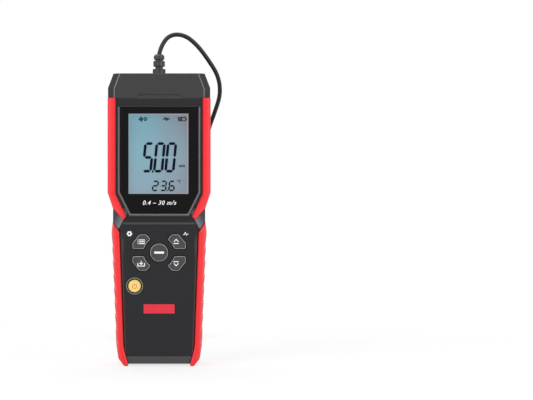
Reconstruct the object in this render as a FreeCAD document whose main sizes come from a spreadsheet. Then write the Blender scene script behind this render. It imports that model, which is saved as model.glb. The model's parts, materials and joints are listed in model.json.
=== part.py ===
"""Handheld weather meter: an upright display unit, and a vane probe on a thin cable.

Millimetres. +Z is up, the display faces -Y and +X is to the right. The unit stands on its two
feet at z = 0, and y = 0 is the plane where its front and rear shells meet.
"""
import FreeCAD, Part
import math
import os
from types import SimpleNamespace

import Sketcher
from FreeCAD import Placement, Rotation, Vector

SIZES = {
    # case
    "case_bottom": 1.6,
    "head_front": 18.0,
    "handle_front": 15.0,
    "back_depth": 17.0,
    "grip_lip": 2.0,
    "grip_wall": 2.4,
    "case_wall": 2.0,
    "seam": 0.1,
    "groove": 0.4,
    "face_edge": 0.5,
    "head_half": 37.0,
    "head_taper_z": 124.7,
    "waist_inset": 3.9,
    "waist_top": 113.6,
    "waist_bottom": 103.7,
    "slope_top": 108.2,
    "slope_bottom": 101.0,
    "core_step": 104.8,
    "facet_high_inset": 11.0,
    "facet_high_z": 104.5,
    "facet_low_inset": 7.9,
    "facet_low_z": 98.7,
    "facet_drop": 3.0,
    "fold_z": 7.1,
    "fold_rise": 2.4,
    # grips
    "upper_face_inset": 5.9,
    "upper_inner_z": 123.8,
    "hook_inner_inset": 13.5,
    "hook_inner_z": 107.6,
    "hook_tip_inset": 11.5,
    "hook_tip_z": 105.4,
    "grip_round": 2.6,
    "foot_round": 6.0,
    "lower_top_inset": 2.8,
    "lower_top_z": 96.3,
    "lower_face_inset": 8.9,
    "lower_low_inset": 6.2,
    "lower_low_z": 15.0,
    "low_face_inset": 12.1,
    "lower_inner_low_z": 11.0,
    "foot_side_inset": 7.7,
    "foot_side_z": 5.2,
    "foot_outer_inset": 11.8,
    "foot_inner_inset": 14.6,
    "foot_inner_z": 2.6,
    "rib_pitch": 9.7,
    "rib_count": 7,
    "rib_depth": 0.6,
    "rib_lead": 0.08,
    "rib_step": 0.8,
    "rib_first_z": 94.6,
    # top cap
    "body_height": 210.0,
    "cap_inset": 0.3,
    "cap_height": 17.5,
    "cap_shoulder_drop": 10.3,
    "cap_top_inset": 4.2,
    "cap_front": 18.6,
    "cap_back": 17.6,
    "cap_bevel": 4.2,
    "cap_edge": 0.5,
    "cap_top_wall": 3.0,
    "tab_height": 2.4,
    "tab_half": 13.7,
    "tab_foot_half": 16.9,
    "tab_depth": 2.6,
    "spigot_inset": 7.2,
    "spigot_height": 5.5,
    "spigot_front": 13.6,
    "spigot_back": 12.6,
    "spigot_gap": 0.2,
    # display
    "lens_inset": 9.0,
    "lens_drop": 6.5,
    "lens_side_z": 125.1,
    "lens_low_inset": 16.7,
    "lens_bottom": 109.6,
    "lens_thick": 2.0,
    "lens_corner": 2.0,
    "bezel_band": 2.2,
    "bezel_top_band": 0.8,
    "bezel_bevel": 1.4,
    "bezel_rise": 0.5,
    "window_inset": 12.6,
    "window_bottom": 120.9,
    "window_drop": 1.3,
    "gasket_band": 1.6,
    "glass_thick": 1.8,
    "glass_ledge": 2.6,
    "frame_band": 1.4,
    # board
    "board_front": 8.0,
    "board_thick": 1.6,
    "board_inset": 11.0,
    "board_drop": 2.3,
    "board_neck_inset": 18.6,
    "board_handle_inset": 15.0,
    "board_bottom": 44.0,
    "board_screw_inset": 19.0,
    "board_screw_drop": 1.9,
    "board_screw_low": 47.0,
    "board_screw_r": 0.8,
    "board_screw_head": 1.2,
    "board_grid": 1.0,
    "buzzer_r": 6.0,
    "buzzer_thick": 4.4,
    "buzzer_z": 66.0,
    "standoff_r": 1.7,
    # keys
    "keys_z": 81.6,
    "key_corner": 1.2,
    "key_rim": 0.45,
    "key_top": 11.77,
    "key_bottom": 3.94,
    "key_outer": 17.85,
    "key_shoulder": 6.4,
    "key_crown": 13.48,
    "key_inner": 9.89,
    "key_tip_x": 7.84,
    "key_tip_z": 9.58,
    "key_heel": 11.76,
    "key_arc": 11.2,
    "key_gap": 0.5,
    "key_flange": 1.0,
    "key_rise": 1.2,
    "key_travel": 1.0,
    "centre_key_r": 6.34,
    "power_inset": 19.4,
    "power_z": 57.6,
    "power_r": 4.5,
    "power_ring_r": 6.05,
    "power_ring_band": 1.0,
    "power_ring_rise": 0.7,
    "keypad_inset": 13.6,
    "keypad_bottom": 50.5,
    "keypad_top": 99.2,
    "keypad_ledge": 1.0,
    "membrane_thick": 0.8,
    "dome_r": 2.6,
    "dome_thick": 0.8,
    "badge_half": 11.1,
    "badge_z": 41.2,
    "badge_height": 6.6,
    "badge_thick": 0.4,
    # battery bay and its door
    "cell_r": 5.2,
    "cell_length": 44.5,
    "cell_pitch": 11.2,
    "cell_gap": 0.3,
    "contact_room": 2.6,
    "contact_thick": 0.4,
    "spring_r": 3.2,
    "spring_wire": 0.3,
    "bay_wall": 1.6,
    "bay_centre_z": 51.8,
    "door_half": 19.2,
    "door_bottom": 16.6,
    "door_thick": 1.6,
    "door_gap": 0.3,
    "door_corner": 2.0,
    "hinge_z": 79.4,
    "knuckle_r": 1.4,
    "pin_r": 0.7,
    "pin_reach": 1.2,
    "pin_play": 0.06,
    "door_screw_z": 20.6,
    "door_screw_r": 1.2,
    "door_screw_play": 0.5,
    # fasteners of the case
    "boss_r": 2.6,
    "rear_boss_r": 3.4,
    "screw_r": 1.1,
    "screw_head_r": 2.1,
    "screw_head_thick": 1.6,
    "screw_seat": 5.5,
    "screw_reach": 7.0,
    "screw_top_inset": 8.4,
    "screw_top_drop": 8.9,
    "screw_mid_inset": 14.6,
    "screw_mid_z": 103.2,
    "screw_low_inset": 15.4,
    "screw_low_z": 10.4,
    "tripod_z": 113.0,
    "tripod_r": 2.7,
    "tripod_outer_r": 4.5,
    "tripod_length": 8.0,
    # cable and its boots
    "boot_tip": 15.0,
    "boot_ring_r": 4.7,
    "boot_mid_r": 4.25,
    "boot_end_r": 3.9,
    "boot_neck_r": 2.8,
    "boot_bore": 3.4,
    "cable_r": 1.6,
    "coil_y": 45.0,
    "coil_mean_r": 18.2,
    # vane probe
    "probe_y": 99.0,
    "probe_axis_z": 13.0,
    "probe_length": 92.0,
    "probe_end_r": 7.2,
    "probe_grip_r": 11.6,
    "probe_neck_r": 7.6,
    "probe_wall": 1.8,
    "probe_neck_length": 5.0,
    "ring_r": 32.0,
    "ring_wall": 3.4,
    "ring_edge": 1.2,
    "bead_r": 1.0,
    "bead_length": 3.2,
    "ring_height": 26.0,
    "guard_thick": 2.2,
    "guard_rim": 1.8,
    "guard_arm": 1.8,
    "guard_hub_r": 5.0,
    "shaft_r": 0.8,
    "shaft_play": 0.03,
    "bearing_r": 2.2,
    "tip_gap": 3.0,
    "impeller_hub_r": 5.6,
    "impeller_height": 9.6,
    "blade_thick": 0.8,
    "blade_sweep": 8.0,
}

doc = FreeCAD.newDocument("weather_meter")
sheet = doc.addObject("Spreadsheet::Sheet", "sizes")
for row, (alias, number) in enumerate(SIZES.items(), start=1):
    sheet.set(f"A{row}", alias)
    sheet.set(f"B{row}", str(number))
    sheet.setAlias(f"B{row}", alias)
doc.recompute()


class Size:
    """A size that knows its number and the sheet formula that it comes from."""

    def __init__(self, number, formula):
        self.number = number
        self.formula = formula

    def joined(self, sign, other, number):
        return Size(number, f"({self.formula} {sign} {other.formula})")

    def __add__(self, other):
        other = as_size(other)
        return self.joined("+", other, self.number + other.number)

    def __sub__(self, other):
        other = as_size(other)
        return self.joined("-", other, self.number - other.number)

    def __mul__(self, other):
        other = as_size(other)
        return self.joined("*", other, self.number * other.number)

    def __radd__(self, other):
        return as_size(other) + self

    def __rsub__(self, other):
        return as_size(other) - self

    def __rmul__(self, other):
        return as_size(other) * self

    def __neg__(self):
        return as_size(-1) * self


def as_size(value):
    if isinstance(value, Size):
        return value
    return Size(float(value), f"({float(value)})")


S = SimpleNamespace(**{name: Size(float(sheet.get(name)), f"sizes.{name}") for name in SIZES})
S.waist_half = S.head_half - S.waist_inset
S.lower_top_outer = S.head_half - S.lower_top_inset
S.lower_low_outer = S.head_half - S.lower_low_inset
S.foot_side_x = S.head_half - S.foot_side_inset
S.foot_outer = S.head_half - S.foot_outer_inset
S.foot_inner = S.head_half - S.foot_inner_inset
S.lower_inner_top = S.head_half - S.lower_face_inset
S.lower_inner_low = S.head_half - S.low_face_inset
S.upper_inner = S.head_half - S.upper_face_inset
S.hook_inner_x = S.head_half - S.hook_inner_inset
S.hook_tip_x = S.head_half - S.hook_tip_inset
S.cap_half = S.head_half - S.cap_inset
S.cap_top_half = S.head_half - S.cap_top_inset
S.spigot_half = S.head_half - S.spigot_inset
S.lens_half = S.head_half - S.lens_inset
S.lens_low_half = S.head_half - S.lens_low_inset
S.window_half = S.head_half - S.window_inset
S.board_half = S.head_half - S.board_inset
S.board_neck_half = S.head_half - S.board_neck_inset
S.board_handle_half = S.head_half - S.board_handle_inset
S.board_screw_x = S.head_half - S.board_screw_inset
S.keypad_half = S.head_half - S.keypad_inset
S.power_x = S.head_half - S.power_inset
S.impeller_r = S.ring_r - S.ring_wall - S.tip_gap
S.screw_top_x = S.head_half - S.screw_top_inset
S.screw_mid_x = S.head_half - S.screw_mid_inset
S.screw_low_x = S.head_half - S.screw_low_inset
S.case_top = S.body_height - S.cap_height
S.cap_shoulder_z = S.body_height - S.cap_shoulder_drop
S.tab_top = S.case_top + S.tab_height
S.spigot_top = S.case_top + S.spigot_height
S.lens_top = S.case_top - S.lens_drop
S.window_top = S.lens_top - S.window_drop
S.board_top = S.case_top - S.board_drop
S.board_screw_top = S.board_top - S.board_screw_drop
S.screw_top_z = S.case_top - S.screw_top_drop
NODES = {}


def keep(item, node):
    """Makes an item one of the finished sub-parts."""
    item.Label = node
    NODES[node] = item
    return item


def bind(item, path, value):
    item.setExpression(path, as_size(value).formula)


def place(item, x, y, z):
    bind(item, "Placement.Base.x", x)
    bind(item, "Placement.Base.y", y)
    bind(item, "Placement.Base.z", z)
    return item


# ---------------------------------------------------------------- solids made of primitives

ALONG = {"X": Rotation(Vector(0, 1, 0), 90), "Y": Rotation(Vector(1, 0, 0), -90), "Z": Rotation()}


def rod(name, radius, length, x, y, z, axis="Y"):
    """A cylinder that starts at (x, y, z) and runs the way its axis points."""
    item = doc.addObject("Part::Cylinder", name)
    item.Placement = Placement(Vector(), ALONG[axis])
    bind(item, "Radius", radius)
    bind(item, "Height", length)
    return place(item, x, y, z)


def block(name, low, high):
    item = doc.addObject("Part::Box", name)
    for side, start, end in zip(("Length", "Width", "Height"), low, high):
        bind(item, side, as_size(end) - as_size(start))
    return place(item, *low)


def fuse(name, items):
    item = doc.addObject("Part::MultiFuse", name)
    item.Shapes = items
    return item


def group(name, items):
    """Separate solids that are one sub-part, such as a set of screws."""
    item = doc.addObject("Part::Compound", name)
    item.Links = items
    return item


def cut(name, base, tools):
    item = doc.addObject("Part::Cut", name)
    item.Base = base
    item.Tool = tools[0] if len(tools) == 1 else fuse(name + "_tools", tools)
    return item


# ---------------------------------------------------------------- solids made of sketches

def new_body(name):
    return doc.addObject("PartDesign::Body", name)


def origin_part(body, role):
    return next(item for item in body.Origin.OriginFeatures if item.Role == role)


def draw(sketch, points):
    """Closes an outline through the points, each held by its distances from the origin."""
    count = len(points)
    spots = [Vector(as_size(across).number, as_size(up).number, 0) for across, up in points]
    for index in range(count):
        sketch.addGeometry(Part.LineSegment(spots[index], spots[(index + 1) % count]), False)
    for index in range(count):
        sketch.addConstraint(Sketcher.Constraint("Coincident", index, 2, (index + 1) % count, 1))
    for index, (across, up) in enumerate(points):
        for kind, value in (("DistanceX", as_size(across)), ("DistanceY", as_size(up))):
            number = sketch.addConstraint(Sketcher.Constraint(kind, -1, 1, index, 1, value.number))
            sketch.setExpression(f"Constraints[{number}]", value.formula)


def body_sketch(body, name, points, role, offset):
    sketch = body.newObject("Sketcher::SketchObject", name)
    sketch.AttachmentSupport = [(origin_part(body, role), "")]
    sketch.MapMode = "FlatFace"
    bind(sketch, "AttachmentOffset.Base.z", offset)
    draw(sketch, points)
    return sketch


def pad(body, name, points, rear, depth):
    """Adds an outline of (x, z) points, from the plane y = rear forwards."""
    item = body.newObject("PartDesign::Pad", name)
    item.Profile = body_sketch(body, name + "_outline", points, "XZ_Plane", -as_size(rear))
    bind(item, "Length", depth)
    doc.recompute()
    return item


def pocket(body, name, points, rear, depth):
    """Cuts an outline of (x, z) points, from the plane y = rear forwards."""
    before = body.Tip.Shape.Volume
    item = body.newObject("PartDesign::Pocket", name)
    item.Profile = body_sketch(body, name + "_outline", points, "XZ_Plane", -as_size(rear))
    item.Reversed = True
    bind(item, "Length", depth)
    doc.recompute()
    check_cut(item, before)
    return item


def side_cut(body, name, points):
    """Cuts an outline of (y, z) points right across the body."""
    before = body.Tip.Shape.Volume
    item = body.newObject("PartDesign::Pocket", name)
    item.Profile = body_sketch(body, name + "_outline", points, "YZ_Plane", 0)
    item.Type = "ThroughAll"
    item.Midplane = True
    doc.recompute()
    check_cut(item, before)
    return item


def check_cut(item, before):
    if item.Shape.Volume > before - 0.01:
        raise ValueError(item.Name + " cuts nothing")


def edges_where(item, test):
    """Names of the edges whose two ends both pass the test."""
    names = []
    for index, edge in enumerate(item.Shape.Edges, start=1):
        ends = [vertex.Point for vertex in edge.Vertexes]
        if len(ends) == 2 and test(*ends):
            names.append(f"Edge{index}")
    if not names:
        raise ValueError("no edge of " + item.Name + " matches")
    return names


def dress(body, kind, name, amount, test):
    """Adds a Fillet or a Chamfer to the edges of the body that pass the test."""
    base = body.Tip
    item = body.newObject("PartDesign::" + kind, name)
    item.Base = (base, edges_where(base, test))
    bind(item, "Radius" if kind == "Fillet" else "Size", amount)
    doc.recompute()
    return item


def near(one, other):
    return abs(one - as_size(other).number) < 0.01


def runs_along_y(one, two):
    return near(one.x, two.x) and near(one.z, two.z)


def mirrored(half):
    """A whole outline from the points of its right half, from bottom to top."""
    return list(half) + [(-as_size(across), up) for across, up in reversed(half)]


def flipped(points, side):
    """The points as they are, or on the left side for side = -1."""
    return [(side * as_size(across), up) for across, up in points]


# ---------------------------------------------------------------- outlines that pieces share

UPPER_GRIP = [
    (S.head_half, S.case_top - S.seam),
    (S.head_half, S.head_taper_z),
    (S.waist_half + S.seam * 2, S.waist_top + S.seam),
    (S.hook_tip_x, S.hook_tip_z),
    (S.hook_inner_x, S.hook_inner_z),
    (S.upper_inner, S.upper_inner_z),
    (S.upper_inner, S.case_top - S.seam),
]
LOWER_GRIP = [
    (S.foot_outer, 0),
    (S.foot_side_x, S.foot_side_z),
    (S.lower_low_outer, S.lower_low_z),
    (S.lower_top_outer, S.lower_top_z),
    (S.waist_half + S.seam * 2, S.waist_bottom - S.seam),
    (S.lower_inner_top, S.lower_top_z),
    (S.lower_inner_low, S.lower_inner_low_z),
    (S.foot_inner, S.foot_inner_z),
    (S.foot_inner, 0),
]
# the core of the case, which the grips wrap
CORE = [
    (S.foot_inner - S.seam, S.case_bottom),
    (S.lower_low_outer - S.grip_wall, S.lower_low_z - S.grip_wall),
    (S.lower_top_outer - S.grip_wall, S.lower_top_z),
    (S.lower_top_outer - S.grip_wall, S.waist_bottom - S.grip_wall),
    (S.waist_half, S.waist_bottom),
    (S.waist_half, S.waist_top - S.seam),
    (S.waist_half - S.case_wall, S.waist_top + S.case_wall),
    (S.head_half - S.grip_wall, S.head_taper_z + S.seam),
    (S.head_half - S.grip_wall, S.case_top),
]
# the raised face between the grips
FACE = [
    (S.foot_inner - S.groove, S.case_bottom),
    (S.foot_inner - S.groove, S.foot_inner_z),
    (S.lower_inner_low - S.groove, S.lower_inner_low_z),
    (S.lower_inner_top - S.groove, S.lower_top_z + S.groove),
    (S.waist_half, S.waist_bottom + S.groove),
    (S.waist_half, S.waist_top - S.groove),
    (S.hook_tip_x, S.hook_tip_z - S.groove),
    (S.hook_inner_x - S.groove, S.hook_inner_z - S.groove),
    (S.upper_inner - S.groove, S.upper_inner_z),
    (S.upper_inner - S.groove, S.case_top),
]
HEAD_ROOM = [
    (S.waist_half - S.case_wall * 2, S.slope_top - S.seam),
    (S.waist_half - S.case_wall * 2, S.waist_top + S.case_wall),
    (S.head_half - S.grip_wall - S.case_wall, S.head_taper_z + S.case_wall),
    (S.head_half - S.grip_wall - S.case_wall, S.case_top - S.case_wall),
]
HANDLE_ROOM = [
    (S.foot_inner - S.case_wall, S.case_bottom + S.case_wall * 1.5),
    (S.lower_low_outer - S.grip_wall - S.case_wall, S.lower_low_z),
    (S.waist_half - S.case_wall * 2.5, S.slope_top),
]
SPIGOT = [(S.spigot_half, S.case_top - S.case_wall), (S.spigot_half, S.spigot_top)]
SPIGOT_ROOM = [
    (S.spigot_half - S.case_wall, S.case_top - S.case_wall * 2),
    (S.spigot_half - S.case_wall, S.spigot_top + S.seam),
]


def lens_outline(grow, top_grow):
    """The lens outline, moved outwards; its slanted side moves as its ends do."""
    return [
        (S.lens_low_half + grow * 0.7, S.lens_bottom - grow),
        (S.lens_half + grow, S.lens_side_z - grow * 0.3),
        (S.lens_half + grow, S.lens_top + top_grow),
    ]


def box_outline(half, low, high):
    return mirrored([(half, low), (half, high)])


SCREW_SPOTS = [
    (side * x, z)
    for side in (1, -1)
    for x, z in ((S.screw_top_x, S.screw_top_z), (S.screw_mid_x, S.screw_mid_z),
                 (S.screw_low_x, S.screw_low_z))
]
BOARD_SPOTS = [
    (side * S.board_screw_x, z)
    for side in (1, -1)
    for z in (S.board_screw_top, S.board_screw_low)
]
PANEL_BACK = S.case_wall - S.handle_front          # y behind the two-millimetre key panel
ROOM_HANDLE = S.handle_front - S.grip_lip - S.case_wall
ROOM_HEAD = S.head_front - S.grip_lip - S.case_wall


# ---------------------------------------------------------------- keys

def key_sketch(name, across, up):
    """The skeleton of one shaped key, around the middle of the keypad."""
    points = [
        (S.key_crown, S.key_top),
        (S.key_inner, S.key_top),
        (S.key_tip_x, S.key_tip_z),
        (S.key_heel, S.key_bottom),
        (S.key_outer, S.key_bottom),
        (S.key_outer, S.key_shoulder),
    ]
    sketch = doc.addObject("Sketcher::SketchObject", name)
    sketch.Placement = Placement(Vector(), Rotation(Vector(1, 0, 0), 90))
    draw(sketch, [(across * x, S.keys_z + up * z) for x, z in points])
    return sketch


def key_prism(name, sketch, grow, rear, depth):
    """A prism of the skeleton grown by its corner radius, hollowed towards the round key."""
    wide = doc.addObject("Part::Offset2D", name + "_outline")
    wide.Source = sketch
    bind(wide, "Value", S.key_corner + grow)
    prism = doc.addObject("Part::Extrusion", name + "_prism")
    prism.Base = wide
    prism.DirMode = "Custom"
    prism.Dir = Vector(0, -1, 0)
    prism.Solid = True
    bind(prism, "LengthFwd", depth)
    place(prism, 0, rear, 0)
    hollow = rod(name + "_hollow", S.key_arc - grow, as_size(depth) + 2, 0,
                 as_size(rear) - depth - 1, S.keys_z)
    return cut(name, prism, [hollow])


def round_prism(name, radius, x, z, rear, depth):
    return rod(name, radius, depth, x, as_size(rear) - depth, z)


CAP_REAR = PANEL_BACK + S.seam
CAP_DEPTH = S.case_wall + S.seam + S.key_rise
FLANGE_THICK = S.handle_front - S.case_wall - ROOM_HANDLE - S.key_travel - S.seam * 2
SHAPED_KEYS = {"mode_key": (-1, 1), "max_min_key": (1, 1), "store_key": (-1, -1), "unit_key": (1, -1)}
ROUND_KEYS = {
    "centre_key": (0, S.keys_z, S.centre_key_r),
    "power_key": (-S.power_x, S.power_z, S.power_r),
}
key_holes = []


def softened(node, cap, front):
    """Rounds the rim of a key cap's front face."""
    doc.recompute()
    item = doc.addObject("Part::Fillet", node + "_rim")
    item.Base = cap
    level = as_size(front).number
    item.Edges = [
        (index, S.key_rim.number, S.key_rim.number)
        for index, edge in enumerate(cap.Shape.Edges, start=1)
        if edge.BoundBox.YMax < level + 0.01
    ]
    return item


def make_keys():
    front = CAP_REAR - CAP_DEPTH
    flange_rear = CAP_REAR + FLANGE_THICK
    hole_depth = S.case_wall * 2
    for node, (across, up) in SHAPED_KEYS.items():
        sketch = key_sketch(node + "_skeleton", across, up)
        cap = key_prism(node + "_cap", sketch, as_size(0), CAP_REAR, CAP_DEPTH)
        flange = key_prism(node + "_flange", sketch, S.key_flange, flange_rear, FLANGE_THICK)
        keep(fuse(node, [softened(node, cap, front), flange]), node)
        key_holes.append(key_prism(node + "_hole", sketch, S.key_gap, PANEL_BACK + 1, hole_depth + 2))
    for node, (x, z, radius) in ROUND_KEYS.items():
        cap = round_prism(node + "_cap", radius, x, z, CAP_REAR, CAP_DEPTH)
        flange = round_prism(node + "_flange", radius + S.key_flange, x, z, flange_rear,
                             FLANGE_THICK)
        keep(fuse(node, [softened(node, cap, front), flange]), node)
        key_holes.append(round_prism(node + "_hole", radius + S.key_gap, x, z, PANEL_BACK + 1,
                                     hole_depth + 2))


KEY_SPOTS = [
    (0, S.keys_z),
    (-S.power_x, S.power_z),
    (S.key_crown, S.keys_z + S.key_shoulder + 1),
    (-S.key_crown, S.keys_z + S.key_shoulder + 1),
    (S.key_crown, S.keys_z - S.key_shoulder - 1),
    (-S.key_crown, S.keys_z - S.key_shoulder - 1),
]


def make_keypad():
    """Silicone membrane on the ledge behind the panel, and the domes on the board."""
    rear = S.membrane_thick - ROOM_HANDLE
    sheet_body = new_body("membrane_sheet")
    outline = box_outline(S.keypad_half + S.keypad_ledge, S.keypad_bottom - S.keypad_ledge,
                          S.keypad_top + S.keypad_ledge)
    pad(sheet_body, "membrane_plate", outline, rear, S.membrane_thick)
    reach = ROOM_HANDLE - S.membrane_thick - S.board_front - S.dome_thick - S.seam * 2
    studs = [
        rod(f"membrane_stud_{index}", S.dome_r * 0.6, reach, x, rear, z)
        for index, (x, z) in enumerate(KEY_SPOTS)
    ]
    keep(fuse("key_membrane", [sheet_body] + studs), "key_membrane")
    domes = [
        rod(f"dome_{index}", S.dome_r, S.dome_thick, x, -S.board_front - S.dome_thick, z)
        for index, (x, z) in enumerate(KEY_SPOTS)
    ]
    keep(group("dome_switches", domes), "dome_switches")
    ring = cut(
        "power_key_ring",
        rod("power_ring_disc", S.power_ring_r, S.power_ring_rise, -S.power_x,
            -S.handle_front - S.power_ring_rise, S.power_z),
        [rod("power_ring_bore", S.power_ring_r - S.power_ring_band, S.power_ring_rise + 2,
             -S.power_x, -S.handle_front - S.power_ring_rise - 1, S.power_z)],
    )
    keep(ring, "power_key_ring")
    badge = new_body("badge_plate")
    half_height = S.badge_height * 0.5
    pad(badge, "badge_slab", box_outline(S.badge_half, S.badge_z - half_height, S.badge_z + half_height),
        -S.handle_front, S.badge_thick)
    keep(badge, "badge_plate")


# ---------------------------------------------------------------- case shells

def front_profile(body):
    """Slopes the face from the deep head to the handle, and folds it back over the feet."""
    beyond = S.head_front + 3
    side_cut(body, "front_slope", [
        (-beyond, S.slope_top),
        (-S.head_front, S.slope_top),
        (-S.handle_front, S.slope_bottom),
        (-S.handle_front, S.fold_z),
        (S.fold_rise - S.handle_front, S.case_bottom - 2),
        (-beyond, S.case_bottom - 2),
    ])


def waist_facet(side):
    """A block whose flat underside slants the face away between the grips of one side."""
    fall = (S.head_front - S.handle_front).number / (S.slope_top - S.slope_bottom).number
    high_y = -S.handle_front.number - fall * (S.facet_high_z - S.slope_bottom).number
    high = Vector(side * (S.head_half - S.facet_high_inset).number, high_y, S.facet_high_z.number)
    low = Vector(side * (S.head_half - S.facet_low_inset).number, -S.handle_front.number,
                 S.facet_low_z.number)
    outer = Vector(side * S.waist_half.number, high_y + S.facet_drop.number, high.z)
    along = (low - high).normalize()
    normal = along.cross(outer - high).normalize()
    if normal.y > 0:
        normal = normal * -1
    across = normal.cross(along)
    reach = S.head_half.number * 0.5
    start = high - along * (reach * 0.5) - across * (reach if across.x * side < 0 else 0)
    item = block("waist_facet_left" if side < 0 else "waist_facet_right", (0, 0, 0), (reach, reach, reach))
    item.Placement = Placement(Vector(), Rotation(along, across, normal, "XZY"))
    return place(item, *start)


def make_front_case():
    shell = new_body("front_shell")
    pad(shell, "front_core", mirrored(CORE), 0, S.head_front - S.grip_lip)
    pocket(shell, "front_handle_step", box_outline(S.head_half + 2, -2, S.core_step),
           S.grip_lip - S.handle_front, S.head_front)
    pad(shell, "front_face", mirrored(FACE), S.grip_lip + 1 - S.handle_front,
        S.head_front - S.handle_front + S.grip_lip + 1)
    front_profile(shell)
    tab = mirrored([
        (S.tab_foot_half, S.case_top - 1),
        (S.tab_foot_half, S.case_top),
        (S.tab_half, S.tab_top),
    ])
    pad(shell, "front_tab", tab, S.tab_depth - S.head_front, S.tab_depth)
    pad(shell, "front_spigot", mirrored(SPIGOT), 0, S.spigot_front)
    pocket(shell, "front_head_room", mirrored(HEAD_ROOM), 0, ROOM_HEAD)
    pocket(shell, "front_handle_room", mirrored(HANDLE_ROOM), 0, ROOM_HANDLE)
    pocket(shell, "front_spigot_room", mirrored(SPIGOT_ROOM), 0, S.spigot_front - S.case_wall)
    pocket(shell, "keypad_room", box_outline(S.keypad_half, S.keypad_bottom, S.keypad_top),
           -ROOM_HANDLE, S.handle_front - ROOM_HANDLE - S.case_wall)
    seat = S.lens_thick - S.head_front
    pocket(shell, "lens_seat", mirrored(lens_outline(S.bezel_band + S.seam, S.bezel_top_band + S.seam)),
           seat, S.lens_thick + 2)
    window = box_outline(S.window_half, S.window_bottom, S.window_top)
    pocket(shell, "display_window", window, 1 - ROOM_HEAD, S.head_front - ROOM_HEAD + 2)
    dress(shell, "Fillet", "front_face_edge", S.face_edge,
          lambda one, two: near(one.y, -S.handle_front) and near(two.y, -S.handle_front)
          and min(abs(one.x), abs(two.x)) > S.foot_inner.number - 1
          and max(one.z, two.z) < S.waist_bottom.number - 2)
    bosses = [
        rod(f"front_boss_{index}", S.boss_r, ROOM_HANDLE + 1, x, -ROOM_HANDLE - 1, z)
        for index, (x, z) in enumerate(SCREW_SPOTS)
    ]
    head_bosses = [
        rod(f"front_head_boss_{index}", S.boss_r, ROOM_HEAD + 1, x, -ROOM_HEAD - 1, z)
        for index, (x, z) in enumerate(SCREW_SPOTS)
        if as_size(z).number > S.slope_top.number
    ]
    standoffs = [
        rod(f"standoff_{index}", S.standoff_r, depth + 1 - S.board_front, x, -depth - 1, z)
        for index, (x, z) in enumerate(BOARD_SPOTS)
        for depth in (ROOM_HEAD if z is S.board_screw_top else ROOM_HANDLE,)
    ]
    whole = fuse("front_whole", [shell] + bosses + head_bosses + standoffs)
    pilots = [
        rod(f"front_pilot_{index}", S.screw_r, S.screw_reach + 1.2, x, -S.screw_reach - 0.2, z)
        for index, (x, z) in enumerate(SCREW_SPOTS)
    ]
    board_pilots = [
        rod(f"board_pilot_{index}", S.board_screw_r, S.board_thick + 2.4, x,
            -S.board_front - S.board_thick - 0.8, z)
        for index, (x, z) in enumerate(BOARD_SPOTS)
    ]
    facets = [waist_facet(side) for side in (1, -1)]
    keep(cut("front_case", whole, pilots + board_pilots + key_holes + facets), "front_case")


BAY_HALF = S.cell_pitch + S.cell_r + S.cell_gap
BAY_LOW = S.bay_centre_z - S.cell_length * 0.5 - S.contact_room
BAY_HIGH = S.bay_centre_z + S.cell_length * 0.5 + S.contact_room
BAY_FLOOR = S.back_depth - S.door_thick - S.door_gap * 2 - S.cell_r * 2
HINGE_Y = S.back_depth - S.knuckle_r


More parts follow.
